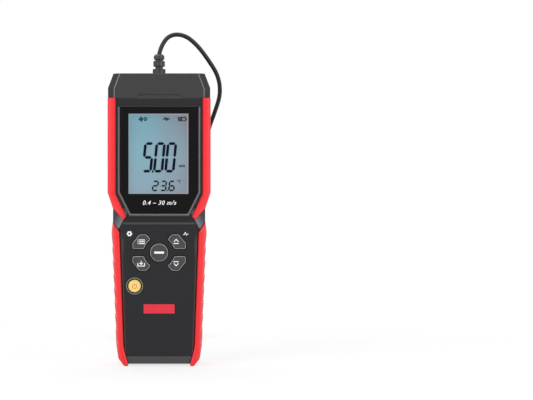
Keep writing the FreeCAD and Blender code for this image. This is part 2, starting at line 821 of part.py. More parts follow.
def make_rear_case():
    shell = new_body("rear_shell")
    core_depth = S.back_depth - S.grip_lip
    room = core_depth - S.case_wall
    pad(shell, "rear_core", mirrored(CORE), core_depth, core_depth)
    pad(shell, "rear_face", mirrored(FACE), S.back_depth, S.grip_lip + 1)
    side_cut(shell, "rear_fold", [
        (S.back_depth + 2, S.fold_z),
        (S.back_depth, S.fold_z),
        (S.back_depth - S.fold_rise, S.case_bottom - 2),
        (S.back_depth + 2, S.case_bottom - 2),
    ])
    pad(shell, "rear_spigot", mirrored(SPIGOT), S.spigot_back, S.spigot_back)
    pocket(shell, "rear_head_room", mirrored(HEAD_ROOM), room, room)
    pocket(shell, "rear_handle_room", mirrored(HANDLE_ROOM), room, room)
    pocket(shell, "rear_spigot_room", mirrored(SPIGOT_ROOM), S.spigot_back - S.case_wall,
           S.spigot_back - S.case_wall)
    pad(shell, "bay_walls", box_outline(BAY_HALF + S.bay_wall, BAY_LOW - S.bay_wall, BAY_HIGH + S.bay_wall),
        room + S.seam, room + S.seam - BAY_FLOOR + S.bay_wall)
    pocket(shell, "bay", box_outline(BAY_HALF, BAY_LOW, BAY_HIGH), S.back_depth, S.back_depth - BAY_FLOOR)
    door_seat = S.back_depth - S.door_thick - S.door_gap
    pocket(shell, "door_recess",
           box_outline(S.door_half + S.door_gap, S.door_bottom - S.door_gap, S.hinge_z),
           S.back_depth, S.back_depth - door_seat)
    bosses = [
        rod(f"rear_boss_{index}", S.rear_boss_r, room + 0.5, x, 0, z)
        for index, (x, z) in enumerate(SCREW_SPOTS)
    ]
    bosses.append(rod("tripod_boss", S.tripod_outer_r + S.case_wall, S.tripod_length, 0,
                      S.back_depth - S.tripod_length - 1, S.tripod_z))
    bosses.append(rod("door_boss", S.door_screw_r * 3, S.case_wall * 3, 0,
                      room - S.case_wall * 2, S.door_screw_z))
    whole = fuse("rear_whole", [shell] + bosses)
    wells = [
        rod(f"screw_well_{index}", S.screw_head_r + 0.2, S.back_depth, x, S.screw_seat, z)
        for index, (x, z) in enumerate(SCREW_SPOTS)
    ]
    holes = [
        rod(f"screw_hole_{index}", S.screw_r + 0.1, S.back_depth, x, -1, z)
        for index, (x, z) in enumerate(SCREW_SPOTS)
    ]
    knuckle_way = rod("knuckle_way", S.knuckle_r + S.door_gap, (S.door_half + S.door_gap) * 2,
                      -S.door_half - S.door_gap, HINGE_Y, S.hinge_z, "X")
    pin_hole = rod("pin_hole", S.pin_r + S.pin_play, (S.door_half + S.pin_reach + S.door_gap) * 2,
                   -S.door_half - S.pin_reach - S.door_gap, HINGE_Y, S.hinge_z, "X")
    insert_hole = rod("insert_hole", S.tripod_outer_r, S.tripod_length + 2, 0,
                      S.back_depth - S.tripod_length, S.tripod_z)
    catch_hole = rod("catch_hole", S.door_screw_r + S.door_screw_play, S.back_depth, 0,
                     room - S.case_wall, S.door_screw_z)
    keep(cut("rear_case", whole, wells + holes + [knuckle_way, pin_hole, insert_hole, catch_hole]),
         "rear_case")


def make_top_cap():
    """The moulded cap on top of the case, with its slanted shoulders."""
    cap = new_body("cap_shell")
    outline = mirrored([
        (S.cap_half, S.case_top),
        (S.cap_half, S.cap_shoulder_z),
        (S.cap_top_half, S.body_height),
    ])
    pad(cap, "cap_block", outline, S.cap_back, S.cap_front + S.cap_back)
    shoulder = S.cap_top_half.number - 0.1
    dress(cap, "Chamfer", "cap_bevels", S.cap_bevel,
          lambda one, two: near(one.y, two.y) and min(one.x * two.x, abs(one.x * two.x)) > shoulder ** 2)
    dress(cap, "Chamfer", "cap_edges", S.cap_edge,
          lambda one, two: near(one.y, two.y) and (near(one.y, -S.cap_front) or near(one.y, S.cap_back))
          and not (near(one.z, S.case_top) and near(two.z, S.case_top)))
    tab = mirrored([
        (S.tab_foot_half + S.seam, S.case_top - 1),
        (S.tab_foot_half + S.seam, S.case_top),
        (S.tab_half + S.seam, S.tab_top + S.seam),
    ])
    pocket(cap, "cap_notch", tab, S.tab_depth + S.seam - S.head_front, S.cap_front)
    room = box_outline(S.spigot_half + S.spigot_gap, S.case_top - 1, S.body_height - S.cap_top_wall)
    pocket(cap, "cap_room", room, S.spigot_back + S.spigot_gap,
           S.spigot_front + S.spigot_back + S.spigot_gap * 2)
    bore = rod("cap_bore", S.boot_bore, S.cap_top_wall * 3, 0, 0, S.body_height - S.cap_top_wall * 2, "Z")
    keep(cut("top_cap", cap, [bore]), "top_cap")


# ---------------------------------------------------------------- grips

def make_upper_grip(node, side):
    grip = new_body(node)
    depth = S.head_front + S.back_depth
    pad(grip, node + "_block", flipped(UPPER_GRIP, side), S.back_depth, depth)
    side_cut(grip, node + "_slope", [
        (-S.head_front - 3, S.slope_top),
        (-S.head_front, S.slope_top),
        (-S.handle_front, S.slope_bottom),
        (-S.head_front - 3, S.slope_bottom),
    ])
    outer = S.waist_half.number

    def outer_edge(one, two):
        level = near(one.y, two.y) and (near(one.y, -S.head_front) or near(one.y, S.back_depth))
        return level and min(abs(one.x), abs(two.x)) > outer

    dress(grip, "Fillet", node + "_edges", S.grip_round, outer_edge)
    pocket(grip, node + "_channel", flipped(
        [(0, S.core_step - 1), (S.waist_half, S.core_step - 1)] + CORE[5:] + [(0, S.case_top)], side),
           S.back_depth - S.grip_lip, depth - S.grip_lip * 2)
    keep(grip, node)


def rib_wedges(side):
    """Outlines of the shallow steps along a lower grip's outer edge."""
    lean = (S.lower_top_outer.number - S.lower_low_outer.number) / (
        S.lower_top_z.number - S.lower_low_z.number)
    wedges = []
    for index in range(int(S.rib_count.number)):
        top = S.rib_first_z - S.rib_pitch * index
        low = top - S.rib_pitch
        outer_top = S.lower_top_outer - (S.lower_top_z - top) * lean
        outer_low = S.lower_top_outer - (S.lower_top_z - low) * lean
        wedges.append(flipped([
            (outer_top + 1, top),
            (outer_top + S.rib_lead, top),
            (outer_low - S.rib_depth, low + S.rib_step),
            (outer_low + 1, low + S.rib_step * 0.3),
        ], side))
    return wedges


def make_lower_grip(node, side):
    grip = new_body(node)
    depth = S.handle_front + S.back_depth
    pad(grip, node + "_block", flipped(LOWER_GRIP, side), S.back_depth, depth)
    dress(grip, "Fillet", node + "_foot", S.foot_round,
          lambda one, two: runs_along_y(one, two)
          and (near(one.z, S.foot_side_z) or near(one.z, S.lower_low_z)))
    outer = S.foot_outer.number - 0.5

    def outer_edge(one, two):
        level = near(one.y, two.y) and (near(one.y, -S.handle_front) or near(one.y, S.back_depth))
        return level and min(abs(one.x), abs(two.x)) > outer and min(one.z, two.z) > 1.0

    dress(grip, "Fillet", node + "_edges", S.grip_round, outer_edge)
    for index, wedge in enumerate(rib_wedges(side)):
        pocket(grip, f"{node}_rib_{index}", wedge, S.back_depth + 1, depth + 2)
    core = CORE[:5] + [(S.waist_half, S.waist_bottom + 1), (0, S.waist_bottom + 1)]
    pocket(grip, node + "_channel", flipped([(0, S.case_bottom)] + core, side),
           S.back_depth - S.grip_lip, depth - S.grip_lip * 2)
    keep(grip, node)


# ---------------------------------------------------------------- display

def make_display():
    seat = S.lens_thick - S.head_front
    lens = new_body("display_lens")
    pad(lens, "lens_plate", mirrored(lens_outline(-S.seam, -S.seam)), seat, S.lens_thick)
    dress(lens, "Fillet", "lens_corners", S.lens_corner, runs_along_y)
    keep(lens, "display_lens")
    bezel = new_body("display_bezel")
    pad(bezel, "bezel_plate", mirrored(lens_outline(S.bezel_band, S.bezel_top_band)), seat,
        S.lens_thick + S.bezel_rise)
    pocket(bezel, "bezel_opening", mirrored(lens_outline(as_size(0), as_size(0))), seat + 1,
           S.lens_thick + S.bezel_rise + 2)
    level = -(S.head_front + S.bezel_rise)
    inner = S.lens_half.number + 0.1
    dress(bezel, "Chamfer", "bezel_bevel", S.bezel_bevel,
          lambda one, two: near(one.y, level) and near(two.y, level)
          and max(abs(one.x), abs(two.x)) < inner
          and max(one.z, two.z) < S.lens_top.number + 0.1
          and min(one.z, two.z) > S.lens_bottom.number - 0.1
          and not (near(one.z, S.lens_top) and near(two.z, S.lens_top)))
    keep(bezel, "display_bezel")
    gasket = new_body("lens_gasket")
    opening = box_outline(S.window_half - S.seam, S.window_bottom + S.seam, S.window_top - S.seam)
    inner_opening = box_outline(S.window_half - S.gasket_band, S.window_bottom + S.gasket_band,
                                S.window_top - S.gasket_band)
    gasket_depth = S.head_front - S.lens_thick - ROOM_HEAD
    pad(gasket, "gasket_ring", opening, -ROOM_HEAD, gasket_depth)
    pocket(gasket, "gasket_opening", inner_opening, -ROOM_HEAD + 1, gasket_depth + 2)
    keep(gasket, "lens_gasket")
    glass_rear = S.glass_thick - ROOM_HEAD
    glass = new_body("lcd_glass")
    pad(glass, "glass_plate", box_outline(S.window_half + 0.2, S.window_bottom - S.glass_ledge, S.window_top),
        glass_rear, S.glass_thick)
    keep(glass, "lcd_glass")
    light = new_body("lcd_backlight")
    light_depth = ROOM_HEAD - S.glass_thick - S.board_front
    pad(light, "light_guide", box_outline(S.window_half, S.window_bottom + 0.4, S.window_top - 0.2),
        -S.board_front, light_depth)
    keep(light, "lcd_backlight")
    strip = new_body("zebra_strip")
    pad(strip, "strip_bar", box_outline(S.window_half - 2, S.window_bottom - S.glass_ledge + 0.3,
                                        S.window_bottom - 0.2), -S.board_front, light_depth)
    keep(strip, "zebra_strip")
    frame = new_body("lcd_frame")
    frame_half = S.window_half + 0.4
    low = S.window_bottom - S.glass_ledge - 0.2
    high = S.window_top + 0.2
    outer = box_outline(frame_half + S.frame_band * 0.7, low - S.frame_band, high + S.frame_band * 0.7)
    pad(frame, "frame_ring", outer, -S.board_front, ROOM_HEAD - S.board_front)
    pocket(frame, "frame_opening", box_outline(frame_half, low, high), 1 - S.board_front,
           ROOM_HEAD - S.board_front + 2)
    keep(frame, "lcd_frame")


# ---------------------------------------------------------------- board and fasteners

def board_part(name, low, left, wide, high, thick):
    """A part on the back of the board; all but its height above the feet is in grid steps."""
    grid = S.board_grid
    rear = S.board_thick - S.board_front
    far = (grid * (left + wide), rear + grid * thick, low + grid * high)
    return block(name, (grid * left, rear, low), far)


def make_board():
    board = new_body("board_plate")
    rear = S.board_thick - S.board_front
    neck_low = S.screw_mid_z - S.boss_r - S.seam * 4
    neck_high = S.screw_mid_z + S.boss_r + S.seam * 4
    outline = mirrored([
        (S.board_handle_half, S.board_bottom),
        (S.board_handle_half, neck_low - 1),
        (S.board_neck_half, neck_low),
        (S.board_neck_half, neck_high),
        (S.board_half, neck_high + 4),
        (S.board_half - 0.8, S.board_top),
    ])
    pad(board, "board_slab", outline, rear, S.board_thick)
    holes = [
        rod(f"board_hole_{index}", S.board_screw_r, S.board_thick + 2, x, rear - S.board_thick - 1, z)
        for index, (x, z) in enumerate(BOARD_SPOTS)
    ]
    keep(cut("main_board", board, holes), "main_board")
    grid = S.board_grid
    chips = [
        board_part("controller_chip", S.board_top - grid * 49, -6, 12, 12, 1.4),
        board_part("amplifier_chip", S.board_top - grid * 68, -12, 5, 6, 1.5),
        board_part("regulator_chip", S.board_bottom + grid * 44, 8, 6, 4, 1.6),
        board_part("crystal_can", S.board_top - grid * 30, 9, 11, 4, 3.2),
        board_part("cable_socket", S.board_top - grid * 10, -6, 12, 6, 4.2),
    ]
    keep(group("board_parts", chips), "board_parts")
    keep(rod("buzzer", S.buzzer_r, S.buzzer_thick, 0, rear, S.buzzer_z), "buzzer")
    screws = []
    for index, (x, z) in enumerate(BOARD_SPOTS):
        head = rod(f"board_screw_head_{index}", S.standoff_r, S.board_screw_head, x, rear, z)
        shank = rod(f"board_screw_shank_{index}", S.board_screw_r, S.board_thick + 1.4, x,
                    rear - S.board_thick - 0.6, z)
        screws.append(fuse(f"board_screw_{index}", [head, shank]))
    keep(group("board_screws", screws), "board_screws")
    case_screws = []
    for index, (x, z) in enumerate(SCREW_SPOTS):
        head = rod(f"case_screw_head_{index}", S.screw_head_r, S.screw_head_thick, x, S.screw_seat, z)
        shank = rod(f"case_screw_shank_{index}", S.screw_r, S.screw_seat + S.screw_reach + 0.5, x,
                    -S.screw_reach, z)
        slot_low = S.screw_seat + S.screw_head_thick * 0.5
        slots = [
            block(f"case_screw_slot_{index}_{turn}",
                  (x - width, slot_low, z - height),
                  (x + width, S.screw_seat + S.screw_head_thick + 1, z + height))
            for turn, (width, height) in enumerate(((1.3, 0.3), (0.3, 1.3)))
        ]
        blank = fuse(f"case_screw_{index}_blank", [head, shank])
        case_screws.append(cut(f"case_screw_{index}", blank, slots))
    keep(group("case_screws", case_screws), "case_screws")
    insert = cut(
        "tripod_insert",
        rod("insert_sleeve", S.tripod_outer_r, S.tripod_length, 0, S.back_depth - S.tripod_length,
            S.tripod_z),
        [rod("insert_thread", S.tripod_r, S.tripod_length + 2, 0, S.back_depth - S.tripod_length - 1,
             S.tripod_z)],
    )
    keep(insert, "tripod_insert")


# ---------------------------------------------------------------- battery and its door

CELL_Y = BAY_FLOOR + S.cell_r
CELL_SPOTS = [-S.cell_pitch, as_size(0), S.cell_pitch]


def make_battery():
    low = S.bay_centre_z - S.cell_length * 0.5
    cells = []
    contacts = []
    springs = []
    for index, x in enumerate(CELL_SPOTS):
        can = rod(f"cell_can_{index}", S.cell_r, S.cell_length - 1, x, CELL_Y, low, "Z")
        nub = rod(f"cell_nub_{index}", S.cell_r * 0.36, 2, x, CELL_Y, low + S.cell_length - 2, "Z")
        cells.append(fuse(f"cell_{index}", [can, nub]))
        side = S.cell_r - 0.6
        contacts.append(block(f"top_contact_{index}", (x - side, CELL_Y - side, BAY_HIGH - S.contact_thick),
                              (x + side, CELL_Y + side, BAY_HIGH)))
        contacts.append(block(f"low_contact_{index}", (x - side, CELL_Y - side, BAY_LOW),
                              (x + side, CELL_Y + side, BAY_LOW + S.contact_thick)))
        springs.append(spring(f"spring_{index}", x, BAY_LOW + S.contact_thick))
    keep(group("battery_cells", cells), "battery_cells")
    keep(group("battery_contacts", contacts), "battery_contacts")
    keep(group("battery_springs", springs), "battery_springs")


def spring(name, x, base):
    """A three-turn compression spring under a cell."""
    wire = S.spring_wire.number
    radius = S.spring_r.number
    reach = (S.contact_room - S.contact_thick - S.spring_wire * 2 - S.seam).number
    helix = Part.makeHelix(reach / 3, reach, radius)
    section = Part.Wire([Part.Circle(Vector(radius, 0, 0), Vector(0, 1, 0), wire).toShape()])
    coil = Part.Wire(helix.Edges).makePipeShell([section], True, True)
    item = doc.addObject("Part::Feature", name)
    item.Shape = coil
    item.Placement = Placement(Vector(x.number, CELL_Y.number, base.number + wire), Rotation())
    return item


def make_door():
    """The door in the back of the handle; its round upper edge turns on two pins."""
    door = new_body("door_panel")
    pad(door, "door_plate", box_outline(S.door_half, S.door_bottom, S.hinge_z), S.back_depth, S.door_thick)
    dress(door, "Fillet", "door_corners", S.door_corner,
          lambda one, two: runs_along_y(one, two) and near(one.z, S.door_bottom))
    knuckle = rod("door_knuckle", S.knuckle_r, S.door_half * 2, -S.door_half, HINGE_Y, S.hinge_z, "X")
    pin = rod("door_pin", S.pin_r, (S.door_half + S.pin_reach) * 2, -S.door_half - S.pin_reach,
              HINGE_Y, S.hinge_z, "X")
    whole = fuse("door_whole", [door, knuckle, pin])
    screw_hole = rod("door_screw_hole", S.door_screw_r, S.door_thick + 2, 0,
                     S.back_depth - S.door_thick - 1, S.door_screw_z)
    dish = rod("door_screw_dish", S.door_screw_r * 2, 1, 0, S.back_depth - S.door_thick * 0.5, S.door_screw_z)
    grooves = [
        block(f"door_groove_{index}", (-8, S.back_depth - 0.5, z), (8, S.back_depth + 1, z + 1))
        for index, z in enumerate(S.door_screw_z + 7 + 2.4 * step for step in range(4))
    ]
    keep(cut("battery_door", whole, [screw_hole, dish] + grooves), "battery_door")
    head = rod("door_screw_head", S.door_screw_r * 2 - 0.2, S.door_thick * 0.5 - 0.1, 0,
               S.back_depth - S.door_thick * 0.5, S.door_screw_z)
    shank = rod("door_screw_shank", S.door_screw_r, S.door_thick + 1.4, 0,
                S.back_depth - S.door_thick - 1, S.door_screw_z)
    slot = block("door_screw_slot", (-1.8, S.back_depth - 0.5, S.door_screw_z - 0.3),
                 (1.8, S.back_depth + 1, S.door_screw_z + 0.3))
    keep(cut("door_screw", fuse("door_screw_blank", [head, shank]), [slot]), "door_screw")


# ---------------------------------------------------------------- vane probe

RING_Y = S.probe_y + S.probe_length + S.probe_neck_length + S.ring_r
RING_BORE = S.ring_r - S.ring_wall


def revolved(name, profile):
    """A solid of revolution about Z from (radius, height) points."""
    body = new_body(name)
    item = body.newObject("PartDesign::Revolution", name + "_turning")
    item.Profile = body_sketch(body, name + "_profile", profile, "XZ_Plane", 0)
    item.ReferenceAxis = (origin_part(body, "Z_Axis"), [""])
    item.Angle = 360
    doc.recompute()
    return body


def ribbed_boot(node, neck, rotation, x, y, z):
    """A strain relief of three rings, with a stem where it is set into a hole."""
    stem = [(0, -neck), (S.boot_bore, -neck), (S.boot_bore, 0)] if neck else [(0, 0)]
    profile = stem + [
        (S.boot_ring_r, 0),
        (S.boot_ring_r, S.boot_tip * 0.28),
        (S.boot_neck_r, S.boot_tip * 0.31),
        (S.boot_neck_r, S.boot_tip * 0.4),
        (S.boot_mid_r, S.boot_tip * 0.42),
        (S.boot_mid_r, S.boot_tip * 0.67),
        (S.boot_neck_r, S.boot_tip * 0.7),
        (S.boot_neck_r, S.boot_tip * 0.74),
        (S.boot_end_r, S.boot_tip * 0.76),
        (S.boot_end_r, S.boot_tip * 0.92),
        (S.boot_neck_r, S.boot_tip),
        (0, S.boot_tip),
    ]
    boot = revolved(node, profile)
    boot.Placement = Placement(Vector(), rotation)
    place(boot, x, y, z)
    keep(boot, node)


def make_probe_handle():
    length = S.probe_length
    end = S.probe_end_r
    grip = S.probe_grip_r
    neck = S.probe_neck_r
    wall = S.probe_wall
    outer = [
        (0, 0), (end, 0), (end + 1.6, length * 0.06), (grip - 1, length * 0.3), (grip, length * 0.55),
        (grip - 0.6, length * 0.75), (neck + 1, length * 0.93), (neck, length), (0, length),
    ]
    inner = [
        (0, wall), (end - wall, wall), (grip - 1 - wall, length * 0.3), (grip - wall, length * 0.55),
        (grip - 0.6 - wall, length * 0.75), (neck - wall, length * 0.93), (neck - wall, length - wall),
        (0, length - wall),
    ]
    lying = ALONG["Y"]
    solid = revolved("handle_blank", outer)
    hollow = revolved("handle_hollow", inner)
    for item in (solid, hollow):
        item.Placement = Placement(Vector(), lying)
        place(item, 0, S.probe_y, S.probe_axis_z)
    shell = cut("handle_shell", solid, [hollow])
    reach = grip + 2
    screw_spots = [S.probe_y + length * share for share in (0.22, 0.8)]
    posts = doc.addObject("Part::Common", "probe_posts")
    posts.Base = fuse("probe_post_rods", [
        rod(f"probe_post_{index}", S.screw_r * 2.2, reach * 2, 0, y, S.probe_axis_z - reach, "Z")
        for index, y in enumerate(screw_spots)
    ])
    posts.Tool = solid
    posted = fuse("handle_posted", [shell, posts])
    pilots = [
        rod(f"probe_pilot_{index}", S.screw_r, reach * 2, 0, y, S.probe_axis_z - reach * 1.6, "Z")
        for index, y in enumerate(screw_spots)
    ]
    wells = [
        rod(f"probe_well_{index}", S.screw_r * 1.9, reach, 0, y, S.probe_axis_z - reach * 1.45, "Z")
        for index, y in enumerate(screw_spots)
    ]
    drilled = cut("handle_drilled", posted, pilots + wells)
    for node, low in (("probe_shell_upper", S.probe_axis_z), ("probe_shell_lower", S.probe_axis_z - reach)):
        half = doc.addObject("Part::Common", node)
        half.Base = drilled
        half.Tool = block(node + "_zone", (-reach, S.probe_y - 1, low),
                          (reach, S.probe_y + length + 1, low + reach))
        keep(half, node)
    screws = []
    for index, y in enumerate(screw_spots):
        seat = S.probe_axis_z - reach * 0.45
        head = rod(f"probe_screw_head_{index}", S.screw_r * 1.7, 1.2, 0, y, seat - 1.2, "Z")
        shank = rod(f"probe_screw_shank_{index}", S.screw_r, reach * 0.8, 0, y, seat - 1, "Z")
        screws.append(fuse(f"probe_screw_{index}", [head, shank]))
    keep(group("probe_screws", screws), "probe_screws")


def make_ring():
    """The open duct around the impeller, on a short neck that the handle meets."""
    high = S.ring_height
    tube = rod("ring_tube", S.ring_r, high, 0, RING_Y, 0, "Z")
    neck = rod("ring_neck", S.probe_neck_r, S.probe_neck_length + S.ring_wall * 2, 0,
               S.probe_y + S.probe_length, S.probe_axis_z)
    bore = rod("ring_bore", RING_BORE, high + 2, 0, RING_Y, -1, "Z")
    sensor_way = rod("pickup_way", S.cable_r, S.probe_neck_length * 2 + S.ring_wall, 0,
                     S.probe_y + S.probe_length - 1, S.probe_axis_z)
    ring = cut("ring_open", fuse("ring_blank", [tube, neck]), [bore, sensor_way])
    doc.recompute()
    rims = doc.addObject("Part::Fillet", "vane_ring")
    rims.Base = ring
    outer = S.ring_r.number
    rims.Edges = [
        (index, S.ring_edge.number, S.ring_edge.number)
        for index, edge in enumerate(ring.Shape.Edges, start=1)
        if edge.BoundBox.ZLength < 0.01 and near(edge.BoundBox.XMax, outer)
    ]
    keep(rims, "vane_ring")
    pickup = rod("pickup_sensor", S.cable_r, S.probe_neck_length + S.ring_wall + 0.8, 0,
                 S.probe_y + S.probe_length + 0.2, S.probe_axis_z)
    keep(pickup, "pickup_sensor")
    bead_z = high - S.guard_thick - 2
    bead = rod("temperature_bead", S.bead_r, S.bead_length, 0, RING_Y - RING_BORE + 0.03, bead_z)
    keep(bead, "temperature_bead")
    for node, low in (("front_guard", high - S.guard_thick), ("rear_guard", as_size(0))):
        make_guard(node, low)
    hub_gap = (high - S.impeller_height) * 0.5 - S.guard_thick - 0.4
    cups = [
        rod("lower_bearing", S.bearing_r, hub_gap, 0, RING_Y, S.guard_thick, "Z"),
        rod("upper_bearing", S.bearing_r, hub_gap, 0, RING_Y, high - S.guard_thick - hub_gap, "Z"),
    ]
    doc.recompute()
    shaft_ways = [
        rod(f"bearing_way_{index}", S.shaft_r, high, 0, RING_Y, 0, "Z") for index in range(2)
    ]
    bored = [cut(f"bearing_{index}", cup, [way]) for index, (cup, way) in enumerate(zip(cups, shaft_ways))]
    keep(group("bearings", bored), "bearings")
    keep(rod("impeller_shaft", S.shaft_r, high - S.guard_thick * 2 + 2, 0, RING_Y, S.guard_thick - 1, "Z"),
         "impeller_shaft")


def make_guard(node, low):
    """Four thin arms from a small hub to a rim inside the duct."""
    thick = S.guard_thick
    rim = cut(node + "_rim", rod(node + "_disc", RING_BORE, thick, 0, RING_Y, low, "Z"),
              [rod(node + "_clear", RING_BORE - S.guard_rim, thick + 2, 0, RING_Y, low - 1, "Z")])
    hub = rod(node + "_hub", S.guard_hub_r, thick, 0, RING_Y, low, "Z")
    long = RING_BORE - S.guard_rim * 0.5
    wide = S.guard_arm * 0.5
    arms = [
        block(node + "_arm_across", (-long, RING_Y - wide, low), (long, RING_Y + wide, low + thick)),
        block(node + "_arm_along", (-wide, RING_Y - long, low), (wide, RING_Y + long, low + thick)),
    ]
    shaft_seat = rod(node + "_seat", S.shaft_r, 1, 0, RING_Y,
                     low if node == "front_guard" else low + thick - 1, "Z")
    keep(cut(node, fuse(node + "_spider", [rim, hub] + arms), [shaft_seat]), node)


def make_impeller():
    """Eight slanted blades on a hub that turns freely on the shaft."""
    wheel = new_body("impeller_wheel")
    half = S.impeller_height * 0.5
    hub = wheel.newObject("PartDesign::Pad", "impeller_hub")
    sketch = wheel.newObject("Sketcher::SketchObject", "impeller_hub_circle")
    sketch.AttachmentSupport = [(origin_part(wheel, "XY_Plane"), "")]
    sketch.MapMode = "FlatFace"
    sketch.addGeometry(Part.Circle(Vector(), Vector(0, 0, 1), S.impeller_hub_r.number), False)
    sketch.addConstraint(Sketcher.Constraint("Coincident", 0, 3, -1, 1))
    radius = sketch.addConstraint(Sketcher.Constraint("Radius", 0, S.impeller_hub_r.number))
    sketch.setExpression(f"Constraints[{radius}]", S.impeller_hub_r.formula)
    hub.Profile = sketch
    hub.Midplane = True
    bind(hub, "Length", S.impeller_height)
    doc.recompute()
    sweep = S.blade_sweep * 0.5
    blade = wheel.newObject("PartDesign::Pad", "impeller_blade")
    blade.Profile = body_sketch(wheel, "impeller_blade_section", [
        (-sweep, -half), (S.blade_thick - sweep, -half), (sweep, half), (sweep - S.blade_thick, half),
    ], "YZ_Plane", S.impeller_hub_r * 0.6)
    bind(blade, "Length", S.impeller_r - S.impeller_hub_r * 0.6)
    doc.recompute()
    blades = wheel.newObject("PartDesign::PolarPattern", "impeller_blades")
    blades.Originals = [blade]
    blades.Axis = (origin_part(wheel, "Z_Axis"), [""])
    blades.Angle = 360
    blades.Occurrences = 8
    wheel.Tip = blades
    place(wheel, 0, RING_Y, S.ring_height * 0.5)
    way = rod("impeller_way", S.shaft_r + S.shaft_play, S.ring_height, 0, RING_Y, 0, "Z")
    keep(cut("impeller", wheel, [way]), "impeller")


# ---------------------------------------------------------------- cable

CABLE_ROUTE = [
    (0, 0, 225),
    (1.6, 0.4, 232),
    (8.2, 1.2, 239.8),
    (18.4, 2.6, 239.6),
    (27.6, 4.6, 232.6),
    (36, 7.6, 221.8),
    (43.5, 12.5, 210.5),
    (45.5, 20.5, 198),
    (42, 31, 186),
    (36, 37.5, 170),
    (32, 39, 146),
    (31, 37, 116),
    (30.2, 38, 86),
    (28.6, 38.5, 60),
    (29.4, 34, 38),
    (28.5, 30.6, 21),
    (28.2, 30, 9.8),
    (26.9, 32.5, 4.7),
    (25, 36.8, 1.7),
    (23.4, 43.6, 1.7),
    (21, 49.8, 1.7),
]
LEAD_ROUTE = [
    (21.4, 46, 4.8),
    (20.5, 54, 4.9),
    (16, 61.5, 5.4),
    (9.5, 67.5, 7.2),
    (3.6, 72.5, 10.2),
    (0.6, 78, 12.6),
    (0, 84, 13),
]


def tube(node, route, radius):
    """A round cord: straight runs, with the largest tangent arc that each turn has room for."""
    points = [Vector(*point) for point in route]
    runs = [points[index + 1] - points[index] for index in range(len(points) - 1)]
    edges = []
    start = points[0]
    radii = []
    for index in range(1, len(points) - 1):
        before, after = runs[index - 1], runs[index]
        half_turn = before.getAngle(after) / 2
        trim = 0.45 * min(before.Length, after.Length)
        radii.append(trim / math.tan(half_turn))
        corner = points[index]
        one = corner - Vector(before).normalize() * trim
        two = corner + Vector(after).normalize() * trim
        bisector = (Vector(after).normalize() - Vector(before).normalize()).normalize()
        sagitta = radii[-1] * (1 / math.cos(half_turn) - 1)
        edges.append(Part.LineSegment(start, one).toShape())
        edges.append(Part.Arc(one, corner + bisector * sagitta, two).toShape())
        start = two
    edges.append(Part.LineSegment(start, points[-1]).toShape())
    path = Part.Wire(edges)
    section = Part.Wire([Part.Circle(points[0], Vector(runs[0]), radius).toShape()])
    item = doc.addObject("Part::Feature", node)
    item.Shape = path.makePipeShell([section], True, False)
    expected = math.pi * radius ** 2 * path.Length
    print(node, "radii", [round(value, 1) for value in radii], "length", round(path.Length, 1),
          "volume share", round(item.Shape.Volume / expected, 4))
    keep(item, node)


def make_cable():
    tube("sensor_cable", CABLE_ROUTE, S.cable_r.number)
    tube("probe_lead", LEAD_ROUTE, S.cable_r.number)
    half_band = S.cable_r * 3
    coil = cut(
        "cable_coil",
        rod("coil_outside", S.coil_mean_r + half_band, S.cable_r * 4, 0, S.coil_y, 0, "Z"),
        [rod("coil_inside", S.coil_mean_r - half_band, S.cable_r * 4 + 2, 0, S.coil_y, -1, "Z")],
    )
    keep(coil, "cable_coil")


# ---------------------------------------------------------------- the whole meter

make_keys()
make_keypad()
make_front_case()
make_rear_case()
make_top_cap()
for grip_side, grip_name in ((-1, "left"), (1, "right")):
    make_upper_grip(grip_name + "_upper_grip", grip_side)
    make_lower_grip(grip_name + "_lower_grip", grip_side)
make_display()
make_board()
make_battery()
make_door()
ribbed_boot("cable_boot", S.cap_top_wall * 0.8, Rotation(), 0, 0, S.body_height)
ribbed_boot("probe_boot", None, Rotation(Vector(1, 0, 0), 90), 0, S.probe_y, S.probe_axis_z)
make_probe_handle()
make_ring()
make_impeller()
make_cable()
doc.recompute()

for item in doc.Objects:
    if "Invalid" in item.State or "Error" in item.State:
        raise ValueError(f"{item.Name} failed: {item.State}")

os.makedirs("parts", exist_ok=True)
for node, item in NODES.items():
    shape = item.Shape
    if shape.isNull() or not shape.isValid() or not shape.Solids:
        raise ValueError(f"{node} has no valid solid")
    shape.exportStep(f"parts/{node}.step")
    print(f"{node}: {len(shape.Solids)} solids, {shape.Volume:.1f} mm3")
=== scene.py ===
"""The looks of the handheld weather meter: finishes, display, legends, cable and studio."""
import json
import math

import bmesh
import bpy
from mathutils import Matrix, Vector


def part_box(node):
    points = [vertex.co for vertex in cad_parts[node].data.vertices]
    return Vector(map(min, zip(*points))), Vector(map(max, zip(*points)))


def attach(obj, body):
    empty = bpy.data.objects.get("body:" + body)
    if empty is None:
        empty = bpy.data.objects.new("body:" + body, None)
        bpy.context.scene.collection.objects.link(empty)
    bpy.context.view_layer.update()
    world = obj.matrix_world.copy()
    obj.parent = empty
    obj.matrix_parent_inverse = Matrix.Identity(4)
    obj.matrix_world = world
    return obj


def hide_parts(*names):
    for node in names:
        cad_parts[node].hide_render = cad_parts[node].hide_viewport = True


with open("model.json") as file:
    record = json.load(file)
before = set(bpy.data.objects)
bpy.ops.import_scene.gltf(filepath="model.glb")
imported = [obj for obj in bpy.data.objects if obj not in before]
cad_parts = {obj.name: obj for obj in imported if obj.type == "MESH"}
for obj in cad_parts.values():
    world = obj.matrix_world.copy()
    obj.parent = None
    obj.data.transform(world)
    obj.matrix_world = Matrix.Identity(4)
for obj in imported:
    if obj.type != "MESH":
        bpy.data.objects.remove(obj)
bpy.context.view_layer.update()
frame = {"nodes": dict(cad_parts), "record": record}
NODES = frame["nodes"]
MM = 0.001
PER_METRE = 1000.0
BODY = "meter"

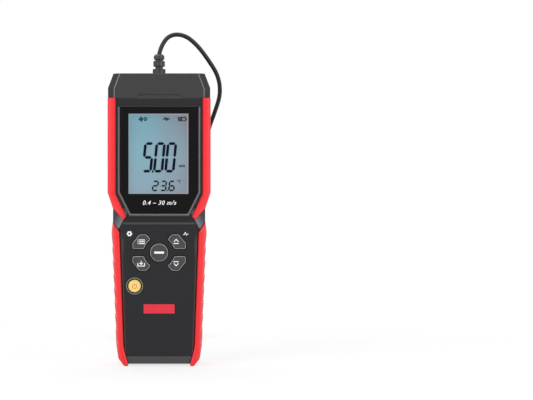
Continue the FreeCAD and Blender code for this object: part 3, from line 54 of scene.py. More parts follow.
# Places on the meter in millimetres: x across, y towards the back, z up. The face at the keypad is
# the panel, and above the waist the head's face stands forward of it.
PANEL = -15.0
HEAD_FORWARD = 3.0
WAIST_LOW = 101.0
WAIST_RISE = 7.2
FOOT_FOLD = 7.1
RIB_PITCH = 9.7
POWER_KEY = (-17.6, 57.6)
WINDOW_MIDDLE = -0.45

# Corners of the cap's side bevels, as (across, up).
CAP_SIDE = (36.7, 199.7)
CAP_TOP = (32.8, 210.0)

# Corners of the grips' inner border, as (across, up), from the foot to the head.
FOOT_TIP = (22.4, 2.6)
FOOT_CORNER = (24.9, 11.0)
WAIST_CORNER = (28.1, 96.3)
SHOULDER_CORNER = (33.1, 103.7)
HOOK_LOW = (23.5, 107.6)
HOOK_HIGH = (31.1, 123.8)


def link(name, data):
    """A new object in the scene."""
    item = bpy.data.objects.new(name, data)
    bpy.context.scene.collection.objects.link(item)
    return item


def finished_mesh(maker):
    """The mesh that text or a live modifier makes; the object that made it goes."""
    bpy.context.view_layer.update()
    mesh = bpy.data.meshes.new_from_object(maker.evaluated_get(bpy.context.evaluated_depsgraph_get()))
    bpy.data.objects.remove(maker)
    return mesh


# ------------------------------------------------------------------ shader maths

class Signal:
    """One output of a shader node, which takes part in Python sums."""

    def __init__(self, graph, socket):
        self.graph = graph
        self.socket = socket

    def maths(self, operation, *values):
        return self.graph.node("ShaderNodeMath", {"operation": operation}, dict(enumerate(values)))

    def fraction(self):
        return self.maths("FRACT", self)

    def __add__(self, other):
        return self.maths("ADD", self, other)

    def __sub__(self, other):
        return self.maths("SUBTRACT", self, other)

    def __mul__(self, other):
        return self.maths("MULTIPLY", self, other)

    def __truediv__(self, other):
        return self.maths("DIVIDE", self, other)

    def __rsub__(self, other):
        return self.maths("SUBTRACT", other, self)

    __radd__ = __add__
    __rmul__ = __mul__

    def size(self):
        return self.maths("ABSOLUTE", self)

    def least(self, other):
        return self.maths("MINIMUM", self, other)

    def most(self, other):
        return self.maths("MAXIMUM", self, other)

    def above(self, level, blur):
        """0 below the level and 1 above it, over a soft band."""
        return self.graph.node(
            "ShaderNodeMapRange",
            {"interpolation_type": "SMOOTHSTEP"},
            {"Value": self, "From Min": level - blur, "From Max": level + blur},
        )

    def below(self, level, blur):
        return 1.0 - self.above(level, blur)

    def within(self, centre, half, blur):
        """1 near the centre and 0 away from it."""
        return (self - centre).size().below(half, blur)

    def share(self):
        """Held between 0 and 1."""
        return self.most(0.0).least(1.0)


class Graph:
    """A shader node tree."""

    def __init__(self, tree):
        self.tree = tree

    def node(self, kind, settings=None, sockets=None, output=0):
        made = self.tree.nodes.new(kind)
        for title, value in (settings or {}).items():
            setattr(made, title, value)
        for title, value in (sockets or {}).items():
            self.join(made.inputs[title], value)
        return Signal(self, made.outputs[output])

    def join(self, socket, value):
        if isinstance(value, Signal):
            self.tree.links.new(value.socket, socket)
        elif isinstance(value, tuple) and socket.type == "RGBA" and len(value) == 3:
            socket.default_value = value + (1.0,)
        else:
            socket.default_value = value

    def seen_directly(self):
        """1 for what the camera or a reflection sees, and 0 for the light that bounces on."""
        seen = 0.0
        for kind in ("Camera", "Glossy", "Transmission"):
            seen = self.node("ShaderNodeLightPath", output=f"Is {kind} Ray") + seen
        return seen.least(1.0)


class Look(Graph):
    """A material with one Principled shader; its fixed values are set on the shader's own sockets."""

    def __init__(self, name, **fixed):
        self.material = bpy.data.materials.new(name)
        self.material.use_nodes = True
        super().__init__(self.material.node_tree)
        self.shader = self.tree.nodes["Principled BSDF"]
        for title, value in fixed.items():
            self.feed(title.replace("_", " ").title().replace("Ior", "IOR"), value)

    def feed(self, title, value):
        self.join(self.shader.inputs[title], value)

    def place(self):
        """The point on the piece, in metres."""
        return self.node("ShaderNodeTexCoord", output="Object")

    def millimetres(self):
        """The x, y and z of the point on the piece."""
        place = self.place()
        axes = [self.node("ShaderNodeSeparateXYZ", None, {0: place}, output=axis) for axis in range(3)]
        return [metres * PER_METRE for metres in axes]

    def noise(self, scale, detail=2.0):
        return self.node("ShaderNodeTexNoise", None, {
            "Vector": self.place(), "Scale": scale, "Detail": detail})

    def blend(self, share, one, two):
        """A colour between two, by a share from 0 to 1."""
        return self.node("ShaderNodeMix", {"data_type": "RGBA"}, {0: share, 6: one, 7: two}, output=2)

    def bump(self, height, depth):
        self.feed("Normal", self.node("ShaderNodeBump", None, {"Height": height, "Distance": depth}))


def tint(colour, factor):
    return tuple(min(channel * factor, 1.0) for channel in colour)


def moulded(name, colour, roughness, grain=2600.0, depth=0.00005, spread=0.3, paint=None, **fixed):
    """Spark-eroded plastic: a fine even grain, faint mottling and a little polish on the high spots.

    A paint function may change the colour by the place on the piece.
    """
    look = Look(name, **fixed)
    fine = look.noise(grain, 3.0)
    broad = look.noise(60.0, 2.0)
    share = fine * 0.6 + broad * 0.4
    mottled = look.blend(share, tint(colour, 1 - spread * 0.5), tint(colour, 1 + spread * 0.5))
    look.feed("Base Color", paint(look, mottled) if paint else mottled)
    look.feed("Roughness", (broad - 0.5) * 0.12 + (fine - 0.5) * 0.1 + roughness)
    look.bump(fine, depth)
    return look


def metal(name, colour, roughness):
    """Turned or drawn metal with fine scratches."""
    look = Look(name, metallic=1.0)
    lines = look.noise(900.0, 4.0)
    look.feed("Base Color", look.blend(lines, tint(colour, 0.8), colour))
    look.feed("Roughness", (lines - 0.5) * 0.2 + roughness)
    look.bump(lines, 0.00002)
    return look


# ------------------------------------------------------------------ paint by place

def past(across, up, start, end):
    """How far a point lies outside the line that runs up from start to end, in millimetres."""
    (x1, z1), (x2, z2) = start, end
    length = math.hypot(x2 - x1, z2 - z1)
    return ((across - x1) * (z2 - z1) - (up - z1) * (x2 - x1)) / length


def paint_face(look, base):
    """Front shell: painted shade, near black, in the groove beside the grips, painted highlights along folds
    and edges, and painted light and shade on the facets at the waist.
    """
    x, y, z = look.millimetres()
    across = x.size()
    front = y.below(-10.0, 0.2)
    slope = ((z - WAIST_LOW) / WAIST_RISE).share()
    depth = y + slope * HEAD_FORWARD - PANEL
    # Painted highlights: a band at the fold under the head, the face below the foot's fold, two faint
    # upright lines on the panel, and a line under the cap's parting.
    fold_highlight = z.within(102.5, 0.7, 0.5) * across.below(26.0, 1.5) * 0.6
    lower = z.below(FOOT_FOLD, 0.15) * 0.75
    line = across.within(25.9, 0.22, 0.2) * z.within(86.5, 4.0, 6.0)
    parting_highlight = z.above(191.9, 0.1) * 0.35
    painted_light = fold_highlight.most(lower).most(line).most(parting_highlight) * front
    highlighted = look.blend(painted_light, base, (0.085, 0.085, 0.09))
    # Painted shade: near black deep in the groove beside the grips, above the foot's fold.
    groove_shade = depth.above(0.6, 0.15) * front * z.above(FOOT_FOLD, 0.2)
    groove_shaded = look.blend(groove_shade, highlighted, (0.002, 0.002, 0.002))
    # Painted highlight: a pale reddish line along the panel's edge beside the lower grips.
    beside_grip = past(across, z, FOOT_CORNER, WAIST_CORNER).within(-0.8, 0.3, 0.15)
    border = beside_grip * z.within(52.0, 43.0, 2.0) * front
    edge_highlighted = look.blend(border * 0.8, groove_shaded, (0.11, 0.045, 0.042))
    # Painted light and shade on the waist facets: pale at their inner border, darker away from it.
    outside = past(across, z, (29.1, 98.7), (26.0, 104.5))
    facet = outside.above(0.0, 0.12) * z.within(105.6, 8.2, 0.4) * front
    shade = look.blend((outside / 6.0).share(), (0.17, 0.175, 0.185), (0.04, 0.04, 0.046))
    return look.blend(facet, edge_highlighted, shade)


def paint_cap(look, base):
    """Cap: painted shade on the side bevels and along the top edge, with a painted highlight line along the
    bevels' inner border.
    """
    x, y, z = look.millimetres()
    across = x.size()
    inward = (CAP_SIDE[0] - across).least(past(across, z, CAP_SIDE, CAP_TOP) * -1.0)
    face = y.below(-14.0, 0.2)
    # Painted shade on the side bevels and along the top edge.
    bevel_shaded = look.blend(inward.below(4.2, 0.08) * face, base, (0.012, 0.0125, 0.0135))
    top_edge = z.above(209.4, 0.1)
    edge_shaded = look.blend(top_edge, bevel_shaded, (0.008, 0.008, 0.009))
    # Painted highlight: a pale line along the bevels' inner border.
    highlight_line = inward.within(4.5, 0.2, 0.12) * face
    return look.blend(highlight_line * 0.8, edge_shaded, (0.28, 0.28, 0.3))


def paint_bezel(look, base):
    """Bezel: dark on its flat, with a painted highlight on the bevel around the lens."""
    _, y, z = look.millimetres()
    # Painted highlight on the bevel around the lens.
    bevel = y.above(-18.4, 0.06) * z.below(185.9, 0.1)
    return look.blend(bevel, base, (0.17, 0.17, 0.175))


def paint_key(look, base):
    """Key: a painted highlight on the rim around the top, and painted shade, black, on the outer part of the
    rim and below it.
    """
    _, y, _ = look.millimetres()
    # Painted highlight on the rim, and painted shade, black, on its outer part and below the key.
    rim_highlight = y.above(-16.17, 0.02)
    gap = y.above(-15.92, 0.03)
    return look.blend(gap, look.blend(rim_highlight, base, (0.5, 0.49, 0.5)), (0.001, 0.001, 0.001))


def power_reach(look):
    """The distance from the middle of the power key."""
    x, _, z = look.millimetres()
    middle_x, middle_z = POWER_KEY
    offset = look.node("ShaderNodeCombineXYZ", None, {"X": x - middle_x, "Z": z - middle_z})
    return look.node("ShaderNodeVectorMath", {"operation": "LENGTH"}, {0: offset}, output="Value")


def paint_power_key(look, base):
    """Power key: a deeper yellow ring inside its edge, and painted shade, black, on the outer part of its
    chamfer and below the cap.
    """
    _, y, _ = look.millimetres()
    ring = power_reach(look).within(3.7, 0.3, 0.3)
    # Painted shade: black on the outer part of the chamfer and below the cap.
    gap = y.above(-15.98, 0.03)
    return look.blend(gap, look.blend(ring * 0.5, base, (0.75, 0.42, 0.05)), (0.001, 0.001, 0.001))


def paint_power_ring(look, base):
    """Raised ring: black, with a painted highlight on its outer edge."""
    # Painted highlight on the ring's outer edge.
    outer_highlight = power_reach(look).above(5.5, 0.12)
    return look.blend(outer_highlight, base, (0.2, 0.18, 0.15))


def paint_grip(look, base):
    """Grip: painted shade in deeper red along its inner border with a painted highlight just outside it,
    painted light a little paler further out, and painted light on the rounded outer edge with painted
    highlights at the rib ends.
    """
    x, y, z = look.millimetres()
    across = x.size()
    hook = past(across, z, HOOK_LOW, HOOK_HIGH).most(across - HOOK_HIGH[0])
    foot = past(across, z, FOOT_TIP, FOOT_CORNER)
    side = past(across, z, FOOT_CORNER, WAIST_CORNER)
    crown = past(across, z, WAIST_CORNER, SHOULDER_CORNER)
    is_upper = z.above(104.5, 0.1)
    is_lower = 1.0 - is_upper
    inward = hook * is_upper + side.least(crown).most(foot) * is_lower
    # Painted light: a little paler away from the inner border.
    outer_sheen = look.blend(inward.above(3.2, 1.4) * 0.5, base, (0.78, 0.055, 0.07))
    # Painted light on the rounded outer edge of the lower grips, with painted highlights at the rib ends.
    edge = past(across, z, (30.8, 15.0), (34.2, 96.3)).above(-1.3, 0.6) * y.below(-12.4, 0.3) * is_lower
    rib_end = ((95.2 - z) / RIB_PITCH).fraction().below(0.12, 0.06) * z.within(52.0, 36.0, 2.0)
    painted_light = look.blend(rib_end, (0.66, 0.12, 0.13), (0.92, 0.25, 0.26))
    rim_lit = look.blend(edge * 0.9, outer_sheen, painted_light)
    # Painted highlight: a pale band just outside the inner border of the lower grips.
    inner_highlight = inward.within(0.85, 0.3, 0.2) * is_lower
    edge_highlighted = look.blend(inner_highlight * 0.6, rim_lit, (0.76, 0.075, 0.09))
    # Painted shade: deeper red along the inner border.
    inner_shade = inward.below(0.9, 0.3) * 0.55 * is_upper
    border = inner_shade.most(inward.below(0.35, 0.15) * 0.75)
    return look.blend(border, edge_highlighted, (0.25, 0.006, 0.015))


LOOKS = {
    "case_black": moulded("case_black", (0.012, 0.0125, 0.0145), 0.45, specular_ior_level=0.3),
    "face_black": moulded("face_black", (0.0115, 0.0118, 0.0142), 0.45, paint=paint_face,
                          specular_ior_level=0.24),
    "cap_charcoal": moulded("cap_charcoal", (0.028, 0.027, 0.029), 0.45, paint=paint_cap,
                            specular_ior_level=0.35),
    "grip_red": moulded("grip_red", (0.82, 0.019, 0.025), 0.42, grain=3200.0, spread=0.12,
                        paint=paint_grip, specular_ior_level=0.35),
    "bezel_grey": moulded("bezel_grey", (0.018, 0.018, 0.019), 0.4, paint=paint_bezel,
                          specular_ior_level=0.35),
    "foam_black": moulded("foam_black", (0.02, 0.02, 0.02), 0.8, grain=1500.0),
    "white_plastic": moulded("white_plastic", (0.75, 0.75, 0.73), 0.4),
    "chip_black": moulded("chip_black", (0.03, 0.03, 0.032), 0.5),
    "key_grey": moulded("key_grey", (0.06, 0.056, 0.059), 0.5, grain=3500.0, paint=paint_key,
                        specular_ior_level=0.15),
    "power_yellow": moulded("power_yellow", (0.82, 0.62, 0.2), 0.45, grain=3500.0, spread=0.1,
                            paint=paint_power_key, specular_ior_level=0.2),
    "power_ring": moulded("power_ring", (0.008, 0.008, 0.008), 0.4, paint=paint_power_ring),
    "badge_red": moulded("badge_red", (0.68, 0.016, 0.034), 0.3, spread=0.1),
    "cell_wrap": moulded("cell_wrap", (0.05, 0.1, 0.3), 0.3),
    "cable_rubber": moulded("cable_rubber", (0.009, 0.009, 0.01), 0.45, grain=3000.0,
                            specular_ior_level=0.35),
    "boot_rubber": moulded("boot_rubber", (0.022, 0.021, 0.022), 0.4, grain=2000.0, spread=0.6),
    "impeller_white": moulded("impeller_white", (0.75, 0.76, 0.78), 0.35, spread=0.1),
    "light_guide": moulded("light_guide", (0.45, 0.65, 0.7), 0.3),
    "print_white": moulded("print_white", (0.9, 0.9, 0.9), 0.5, spread=0.05),
    "lcd_ink": moulded("lcd_ink", (0.002, 0.003, 0.012), 0.6, spread=0.2, specular_ior_level=0.1),
    "steel": metal("steel", (0.62, 0.62, 0.64), 0.3),
    "insert_brass": metal("insert_brass", (0.75, 0.55, 0.26), 0.3),
}


def outside_window(x, z, half, low, high, blur):
    """1 outside a box around the middle of the display."""
    beside = (x - WINDOW_MIDDLE).size().above(half, blur)
    return beside.most(z.below(low, blur)).most(z.above(high, blur))


def lens_look():
    """Hard-coated acrylic: printed black behind, with a clear window over the display."""
    look = Look("lens_black", base_color=(0.0025, 0.002, 0.002), specular_ior_level=0.12)
    x, _, z = look.millimetres()
    printed = outside_window(x, z, half=21.45, low=123.7, high=181.2, blur=0.1)
    look.feed("Alpha", printed.most(0.03))
    look.feed("Roughness", look.noise(30.0, 3.0) * 0.05 + 0.05)
    return look


def lcd_look():
    """The lit liquid crystal: pale blue-green, greyer to the right, with a painted highlight line along its
    edges.
    """
    look = Look("lcd_glass", roughness=0.3, emission_strength=0.8, specular_ior_level=0.2)
    x, _, z = look.millimetres()
    across = ((x + 9.0) / 27.0).share()
    down = ((181.0 - z) / 57.0).share()
    upper = look.blend(across, (0.178, 0.38, 0.48), (0.25, 0.215, 0.275))
    lower = look.blend(across, (0.3, 0.39, 0.475), (0.29, 0.285, 0.355))
    lit = look.blend(z.within(152.0, 12.0, 12.0) * 0.3, look.blend(down, upper, lower), (0.27, 0.5, 0.6))
    grain = look.noise(5000.0)
    grainy = look.blend(grain * 0.12, lit, (0.3, 0.42, 0.47))
    # Painted highlight: a pale line along the display's edges, greyer to the right.
    edge = outside_window(x, z, half=20.75, low=124.4, high=180.45, blur=0.2)
    pale = look.blend(across, (0.34, 0.43, 0.48), (0.47, 0.43, 0.47))
    look.feed("Emission Color", look.blend(edge * 0.9, grainy, pale))
    look.feed("Base Color", look.blend(grain * 0.2, (0.04, 0.09, 0.1), (0.06, 0.1, 0.11)))
    return look


def board_look():
    """Green solder mask over copper tracks."""
    look = Look("circuit_green", roughness=0.3)
    tracks = look.node("ShaderNodeTexBrick", None, {
        "Vector": look.place(), "Scale": 300.0, "Mortar Size": 0.06}, output="Fac")
    look.feed("Base Color", look.blend(tracks, (0.01, 0.12, 0.04), (0.02, 0.2, 0.07)))
    look.bump(tracks, 0.00003)
    return look


LOOKS["lens_black"] = lens_look()
LOOKS["lcd_glass"] = lcd_look()
LOOKS["circuit_green"] = board_look()

# Nodes with a finish of their own; every other node has the finish of its slot's name.
SPECIAL = {
    "front_case": "face_black",
    "power_key_ring": "power_ring",
    "cable_boot": "boot_rubber",
    "probe_boot": "boot_rubber",
}


def finish_with(item, look):
    item.data.materials.clear()
    item.data.materials.append(LOOKS[look].material)


for entry in frame["record"]["subparts"]:
    node = entry["node"]
    finish_with(NODES[node], SPECIAL.get(node, entry["material_slot"]))


def dress(item, look, body=BODY):
    """Gives a new piece its finish and the body that it rides on."""
    finish_with(item, look)
    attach(item, body)
    return item


# ------------------------------------------------------------------ flat prints and legends

PRINT_THICK = 0.06
PRINT_STEP = 0.001


class Print:
    """Thin raised print on a plane that faces the front: outlines of (x, z) points in millimetres.

    Each piece is a little thicker than the one before it, so that crossing pieces don't share a face.
    """

    def __init__(self, rear):
        self.mesh = bmesh.new()
        self.rear = rear
        self.thick = PRINT_THICK

    def corners(self, points, depth):
        return [self.mesh.verts.new((x * MM, depth * MM, z * MM)) for x, z in points]

    def outline(self, points):
        """A flat piece with the given corners, with its sides and its back."""
        self.thick += PRINT_STEP
        rear = self.corners(points, self.rear)
        front = self.corners(points, self.rear - self.thick)
        self.mesh.faces.new(rear)
        self.mesh.faces.new(list(reversed(front)))
        count = len(points)
        for index in range(count):
            after = (index + 1) % count
            self.mesh.faces.new((rear[after], rear[index], front[index], front[after]))

    def bar(self, x, z, wide, high):
        self.outline([(x, z), (x + wide, z), (x + wide, z + high), (x, z + high)])

    def stroke(self, start, end, width):
        """A straight stroke with square ends."""
        (x1, z1), (x2, z2) = start, end
        length = math.hypot(x2 - x1, z2 - z1)
        nx = -(z2 - z1) / length * width / 2
        nz = (x2 - x1) / length * width / 2
        self.outline([(x1 + nx, z1 + nz), (x1 - nx, z1 - nz), (x2 - nx, z2 - nz), (x2 + nx, z2 + nz)])

    def line(self, points, width):
        for start, end in zip(points, points[1:]):
            self.stroke(start, end, width)

    def arc(self, x, z, radius, width, start=0.0, end=360.0, steps=28):
        """A curved stroke, made of short four-sided pieces that share their ends."""
        angles = [math.radians(start + (end - start) * index / steps) for index in range(steps + 1)]
        inner = radius - width / 2
        outer = radius + width / 2
        for one, two in zip(angles, angles[1:]):
            self.outline([
                (x + inner * math.cos(one), z + inner * math.sin(one)),
                (x + outer * math.cos(one), z + outer * math.sin(one)),
                (x + outer * math.cos(two), z + outer * math.sin(two)),
                (x + inner * math.cos(two), z + inner * math.sin(two)),
            ])

    def finish(self, name, look, record_slot, body=BODY):
        bmesh.ops.recalc_face_normals(self.mesh, faces=self.mesh.faces)
        data = bpy.data.meshes.new(name)
        self.mesh.to_mesh(data)
        self.mesh.free()
        return dress(link(name, data), look, body)


SEGMENTS = {
    "0": "abcdef",
    "2": "abged",
    "3": "abgcd",
    "5": "afgcd",
    "6": "afgedc",
}
LEAN = math.tan(math.radians(5.5))


def digit(reading, text, left, low, wide, high, thick):
    """One seven-segment figure that leans to the right."""
    half = thick / 2
    gap = thick * 0.12
    middle = high / 2
    level = {"a": high - half, "g": middle, "d": half}
    upright = {"f": (half, middle, high - half), "b": (wide - half, middle, high - half),
               "e": (half, half, middle), "c": (wide - half, half, middle)}

    def leaning(points):
        return [(left + x + z * LEAN, low + z) for x, z in points]

    for name in SEGMENTS[text]:
        if name in level:
            z = level[name]
            reading.outline(leaning([
                (half + gap, z), (thick + gap, z + half), (wide - thick - gap, z + half),
                (wide - half - gap, z), (wide - thick - gap, z - half), (thick + gap, z - half)]))
        else:
            x, bottom, top = upright[name]
            reading.outline(leaning([
                (x, bottom + gap), (x + half, bottom + half + gap), (x + half, top - half - gap),
                (x, top - gap), (x - half, top - half - gap), (x - half, bottom + half + gap)]))


FONT_PER_CAPITAL = 1.42


def lettering(name, text, height, x, z, rear, look, lean=0.0, bold=0.0):
    """A short line of text, centred at (x, z) in millimetres, as a thin mesh that faces the front."""
    data = bpy.data.curves.new(name + "_text", "FONT")
    data.body = text
    data.size = height * MM * FONT_PER_CAPITAL
    data.align_x = "CENTER"
    data.align_y = "CENTER"
    data.space_character = 1.12
    data.shear = lean
    data.offset = bold * MM
    data.extrude = 0.03 * MM
    data.resolution_u = 4
    mesh = finished_mesh(link(name + "_maker", data))
    mesh.transform(Matrix.Translation((x * MM, rear * MM, z * MM)) @ Matrix.Rotation(math.pi / 2, 4, "X"))
    return dress(link(name, mesh), look)


def ring_tree():
    """A Geometry Nodes tree: equal bars around a circle that faces the front."""
    tree = bpy.data.node_groups.new("ring_of_bars", "GeometryNodeTree")
    inputs = {"Count": "Int", "Radius": "Float", "Bar Size": "Vector", "Lean": "Float",
              "Centre": "Vector", "Material": "Material"}
    for title, kind in inputs.items():
        tree.interface.new_socket(title, in_out="INPUT", socket_type="NodeSocket" + kind)
    tree.interface.new_socket("Geometry", in_out="OUTPUT", socket_type="NodeSocketGeometry")
    graph = Graph(tree)
    given = tree.nodes.new("NodeGroupInput").outputs
    count, radius, bar, lean, centre, material = [Signal(graph, given[title]) for title in inputs]
    circle = graph.node("GeometryNodeMeshCircle", None, {"Vertices": count, "Radius": radius})
    block = graph.node("GeometryNodeMeshCube", None, {"Size": bar})
    angle = graph.node("GeometryNodeInputIndex") / count * math.tau + lean
    turn = graph.node("ShaderNodeCombineXYZ", None, {"Z": angle})
    bars = graph.node("GeometryNodeInstanceOnPoints", None, {
        "Points": circle, "Instance": block, "Rotation": turn})
    whole = graph.node("GeometryNodeRealizeInstances", None, {"Geometry": bars})
    upright = graph.node("GeometryNodeTransform", None, {
        "Geometry": whole, "Translation": centre, "Rotation": (math.pi / 2, 0.0, 0.0)})
    finished = graph.node("GeometryNodeSetMaterial", None, {"Geometry": upright, "Material": material})
    graph.join(tree.nodes.new("NodeGroupOutput").inputs[0], finished)
    return tree


RING_TREE = ring_tree()


def ring_of_bars(name, look, record_slot, **sizes):
    """Runs the tree with its sizes in metres, and keeps the result as a plain mesh."""
    maker = link(name + "_maker", bpy.data.meshes.new(name + "_seed"))
    modifier = maker.modifiers.new("ring", "NODES")
    modifier.node_group = RING_TREE
    sizes["material"] = LOOKS[look].material
    for socket in RING_TREE.interface.items_tree:
        if socket.in_out == "INPUT":
            modifier[socket.identifier] = sizes[socket.name.lower().replace(" ", "_")]
    return dress(link(name, finished_mesh(maker)), look)


GLASS_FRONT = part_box("lcd_glass")[0].y / MM


def print_reading(name, figures, left, low, pitch, point, **sizes):
    """A row of seven-segment figures with its decimal point."""
    reading = Print(GLASS_FRONT)
    for index, figure in enumerate(figures):
        digit(reading, figure, left + index * pitch, low, **sizes)
    reading.bar(*point)
    reading.finish(name, "lcd_ink", "lens_black")


def print_unit(name, text, height, x, z, bold):
    lettering(name, text, height, x, z, GLASS_FRONT, "lcd_ink", bold=bold)


def draw_cell(marks, left=13.8, low=176.2, wide=5.2, high=2.4):
    """A cell with two bars of charge."""
    right = left + wide
    top = low + high
    marks.line([(left, low), (right, low), (right, top), (left, top), (left, low - 0.2)], 0.58)
    marks.bar(right + 0.1, low + 0.7, 0.75, 1.0)
    for index in range(2):
        marks.bar(left + 0.6 + index * 1.3, low + 0.4, 1.0, high - 0.8)


def draw_wind(marks, x, z):
    """A small fan with three streaks of air beside it."""
    ring_of_bars("fan_mark", "lcd_ink", "lens_black", count=4, radius=1.05 * MM, lean=0.6,
                 bar_size=(1.7 * MM, 1.0 * MM, 0.12 * MM), centre=(x * MM, GLASS_FRONT * MM, z * MM))
    for rise, reach in ((1.0, 2.0), (0.0, 2.6), (-1.0, 1.7)):
        marks.bar(x + 2.1, z + rise - 0.35, reach, 0.7)


def draw_pulse(marks, left, z):
    """A line with one beat in it."""
    beat = [(0, -0.2), (1.0, 0.0), (1.8, 1.2), (2.7, -1.2), (3.5, 0.9), (4.0, 0), (5.0, 0)]
    marks.line([(left + x, z + rise) for x, rise in beat], 0.85)


def make_display():
    """The large speed, the small temperature, their units, and the marks along the top."""
    print_reading("speed_reading", "500", left=-12.75, low=139.0, pitch=8.15,
                  point=(-5.2, 139.0, 1.2, 1.6), wide=7.5, high=21.8, thick=2.0)
    print_reading("temperature_reading", "236", left=-5.4, low=125.6, pitch=5.85,
                  point=(5.35, 125.6, 0.85, 0.95), wide=4.7, high=7.7, thick=1.15)
    print_unit("speed_unit", "m/s", 1.9, 16.4, 143.8, bold=0.13)
    print_unit("temperature_unit", "°C", 1.8, 14.3, 132.6, bold=0.1)
    marks = Print(GLASS_FRONT)
    mark_line = 177.4
    draw_cell(marks)
    draw_wind(marks, -12.9, mark_line)
    draw_pulse(marks, 2.7, mark_line)
    marks.finish("display_marks", "lcd_ink", "lens_black")


make_display()


def key_legend(key):
    """An empty print on a key's face, with the middle of that key."""
    low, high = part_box(key)
    return Print(low.y / MM), (low.x + high.x) / 2 / MM, (low.z + high.z) / 2 / MM


def finish_legend(legend, name, key):
    """A white legend, which rides with its key."""
    legend.finish(name, "print_white", "key_grey", key + "_body")


def legend_minus():
    legend, x, z = key_legend("centre_key")
    legend.bar(x - 3.45, z - 0.75, 6.9, 1.5)
    finish_legend(legend, "centre_legend", "centre_key")


def legend_list():
    legend, x, z = key_legend("mode_key")
    for row in range(3):
        level = z - 1.7 + row * 1.3
        legend.bar(x - 2.6, level, 0.6, 0.6)
        legend.bar(x - 1.5, level, 4.2, 0.6)
    finish_legend(legend, "mode_legend", "mode_key")


def legend_arrow(name, key, up):
    """An arrow head over a bar, or the same upside down, where up is -1."""
    legend, x, z = key_legend(key)
    legend.line([(x - 2.2, z - 0.1 * up), (x - 0.6, z + 1.7 * up), (x + 1.0, z - 0.1 * up)], 0.55)
    legend.bar(x - 2.4, z - 1.3 * up - 0.3, 3.6, 0.6)
    finish_legend(legend, name, key)


def legend_store():
    """An arrow down into a tray."""
    legend, x, z = key_legend("store_key")
    legend.line([(x - 2.4, z + 0.4), (x - 2.4, z - 1.8), (x + 2.4, z - 1.8), (x + 2.4, z + 0.4)], 0.55)
    legend.line([(x - 1.2, z + 0.5), (x, z - 0.7), (x + 1.2, z + 0.5)], 0.55)
    legend.bar(x - 0.28, z - 0.5, 0.56, 2.4)
    finish_legend(legend, "store_legend", "store_key")


def legend_power():
    legend, x, z = key_legend("power_key")
    legend.arc(x, z - 0.2, 1.5, 0.42, 120, 420)
    legend.bar(x - 0.21, z + 0.2, 0.42, 1.6)
    legend.finish("power_legend", "badge_red", "badge_red", "power_key_body")


def make_panel_marks():
    """A gear wheel beside the upper left key, and a pulse beside the upper right one."""
    gear_x, gear_z = -21.3, 95.1
    ring_of_bars("gear_teeth", "print_white", "case_black", count=6, radius=1.55 * MM, lean=0.0,
                 bar_size=(0.75 * MM, 0.95 * MM, 0.1 * MM), centre=(gear_x * MM, PANEL * MM, gear_z * MM))
    marks = Print(PANEL)
    marks.arc(gear_x, gear_z, 1.15, 0.75)
    marks.line([(17.2, 94.4), (18.2, 94.6), (18.9, 96.2), (19.6, 93.9), (20.2, 94.8), (21.0, 94.9)], 0.42)
    marks.finish("panel_marks", "print_white", "case_black")


legend_minus()
legend_list()
legend_arrow("up_legend", "max_min_key", up=1)
legend_store()
legend_arrow("down_legend", "unit_key", up=-1)
legend_power()
make_panel_marks()
lettering("range_print", "0.4 – 30 m/s", 3.0, 0, 117.2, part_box("display_lens")[0].y / MM,
          "print_white", lean=0.3, bold=0.03)


# ------------------------------------------------------------------ cable

# Points along the cable's centreline, in millimetres: out of the boot, over to the right, and down
# behind the meter to the floor; then, past the coil, up to the probe.
CABLE_ROUTE = [
    (0, 0, 225),
    (1.6, 0.4, 232),
    (8.2, 1.2, 239.8),
    (18.4, 2.6, 239.6),
    (27.6, 4.6, 232.6),
    (36, 7.6, 221.8),
    (43.5, 12.5, 210.5),
    (45.5, 20.5, 198),
    (42, 31, 186),
    (36, 37.5, 170),
    (32, 39, 146),
    (31, 37, 116),
    (30.2, 38, 86),
    (28.6, 38.5, 60),
    (29.4, 34, 38),
    (28.5, 30.6, 21),
    (28.2, 30, 9.8),
    (26.9, 32.5, 4.7),
    (25, 36.8, 1.7),
    (23.4, 43.6, 1.7),
]
LEAD_ROUTE = [
    (20.5, 54, 4.9),
    (16, 61.5, 5.4),
    (9.5, 67.5, 7.2),
    (3.6, 72.5, 10.2),
    (0.6, 78, 12.6),
    (0, 84, 13),
]
CABLE = 3.2
COIL_CENTRE = (0.0, 45.0)
COIL_MEAN = 18.2
COIL_FLOOR = 0.53
COIL_START = math.radians(12)
RINGS = [(0, 0), (1, 0), (2, 0), (2, 1), (1, 1), (0, 1)]
STEP_FROM = 0.82
TURN_POINTS = 24


def coil_points():
    """Six turns: three rings inwards on the floor, then three outwards on top of them.

    Near its end, each turn steps over to the ring or the layer of the next one.
    """
    points = []
    middle_x, middle_y = COIL_CENTRE
    for (inward, layer), (next_inward, next_layer) in zip(RINGS, RINGS[1:] + RINGS[-1:]):
        for index in range(TURN_POINTS):
            share = index / TURN_POINTS
            step = min(max((share - STEP_FROM) / (1 - STEP_FROM), 0.0), 1.0)
            radius = COIL_MEAN + CABLE * (1 - inward - (next_inward - inward) * step)
            height = CABLE * (COIL_FLOOR + layer + (next_layer - layer) * step)
            angle = COIL_START + math.tau * share
            points.append((middle_x + radius * math.cos(angle), middle_y + radius * math.sin(angle), height))
    return points


def nurbs(name, points, thick):
    """A round tube along one spline; its thickness sits on the points, which keeps its bounds tight."""
    data = bpy.data.curves.new(name, "CURVE")
    data.dimensions = "3D"
    spline = data.splines.new("NURBS")
    spline.points.add(len(points) - 1)
    for point, place in zip(spline.points, points):
        point.co = (*(axis * MM for axis in place), 1.0)
        point.radius = thick / 2 * MM
    spline.order_u = 3
    spline.use_endpoint_u = True
    spline.resolution_u = 6
    data.bevel_depth = 1.0
    data.bevel_resolution = 4
    data.use_fill_caps = True
    return link(name, data)


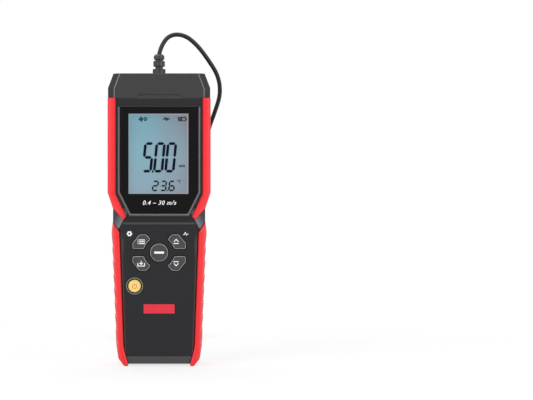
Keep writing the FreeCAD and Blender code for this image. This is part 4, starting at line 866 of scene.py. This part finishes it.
cable = nurbs("meter_cable", CABLE_ROUTE + coil_points() + LEAD_ROUTE, CABLE)
dress(cable, "cable_rubber")
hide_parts("sensor_cable", "cable_coil", "probe_lead")


# ------------------------------------------------------------------ studio

def plain_stage():
    """A pale floor that runs up behind the object, which the camera sees as white with a soft shadow."""
    mesh = bpy.data.meshes.new("studio_floor")
    steps = 16
    bend, near, far, wide, tall = 1.2, -4.0, 2.2, 6.0, 5.0
    turns = [math.pi / 2 * index / steps for index in range(1, steps + 1)]
    section = [(near, 0.0), (far, 0.0)]
    section += [(far + bend * math.sin(turn), bend * (1 - math.cos(turn))) for turn in turns]
    section.append((far + bend, tall))
    points = [(side * wide, y, z) for y, z in section for side in (-1, 1)]
    faces = [(2 * index, 2 * index + 1, 2 * index + 3, 2 * index + 2) for index in range(len(section) - 1)]
    mesh.from_pydata(points, [], faces)
    floor = link("studio_floor", mesh)
    look = Look("studio_white", base_color=(0.9, 0.9, 0.9), roughness=0.9, specular_ior_level=0.0)
    x, y, _ = look.millimetres()
    far_off = (x * x + y * y).above(350.0 ** 2, 250.0 ** 2)
    white = look.node("ShaderNodeEmission", None, {"Color": (1.0, 1.0, 1.0), "Strength": 1.0})
    share = look.seen_directly() * (far_off * 0.25 + 0.75)
    mixed = look.node("ShaderNodeMixShader", None, {
        0: share, 1: Signal(look, look.shader.outputs[0]), 2: white})
    look.join(look.tree.nodes["Material Output"].inputs[0], mixed)
    mesh.materials.append(look.material)
    for face in mesh.polygons:
        face.use_smooth = True


def lamp(name, place, aim, size, power):
    """A soft rectangular lamp; its place and size are in metres and its power in watts."""
    data = bpy.data.lights.new(name, "AREA")
    data.shape = "RECTANGLE"
    data.size, data.size_y = size
    data.energy = power
    item = link(name, data)
    item.location = place
    item.rotation_euler = (Vector(aim) - Vector(place)).to_track_quat("-Z", "Y").to_euler()


def studio():
    """Three soft lamps and a plain white world."""
    centre = (0, 0, 0.11)
    lamp("key_light", (-0.9, -1.1, 1.0), centre, (0.9, 0.9), 14)
    lamp("fill_light", (1.1, -0.9, 0.5), centre, (0.8, 1.0), 7)
    lamp("top_light", (0, 0.5, 1.3), centre, (1.0, 0.8), 9)
    world = bpy.data.worlds.new("studio_world")
    bpy.context.scene.world = world
    world.use_nodes = True
    sky = Graph(world.node_tree)
    ambient = sky.node("ShaderNodeBackground", None, {"Color": (1.0, 1.0, 1.0), "Strength": 0.45})
    white = sky.node("ShaderNodeBackground", None, {"Color": (1.0, 1.0, 1.0), "Strength": 1.0})
    mixed = sky.node("ShaderNodeMixShader", None, {0: sky.seen_directly(), 1: ambient, 2: white})
    sky.join(sky.tree.nodes["World Output"].inputs[0], mixed)


def front_camera():
    """Straight in front of the display, with the meter left of the middle of the frame."""
    distance = 1.2
    field = 0.3841
    sensor = 36
    face = -0.01
    height = 0.1193
    data = bpy.data.cameras.new("front_camera")
    data.sensor_width = sensor
    data.lens = sensor * distance / field
    data.shift_x = 0.2015
    camera = link("front_camera", data)
    camera.location = (0, face - distance, height)
    camera.rotation_euler = (math.pi / 2, 0, 0)
    bpy.context.scene.camera = camera


plain_stage()
studio()
front_camera()
bpy.context.scene.view_settings.view_transform = "Standard"
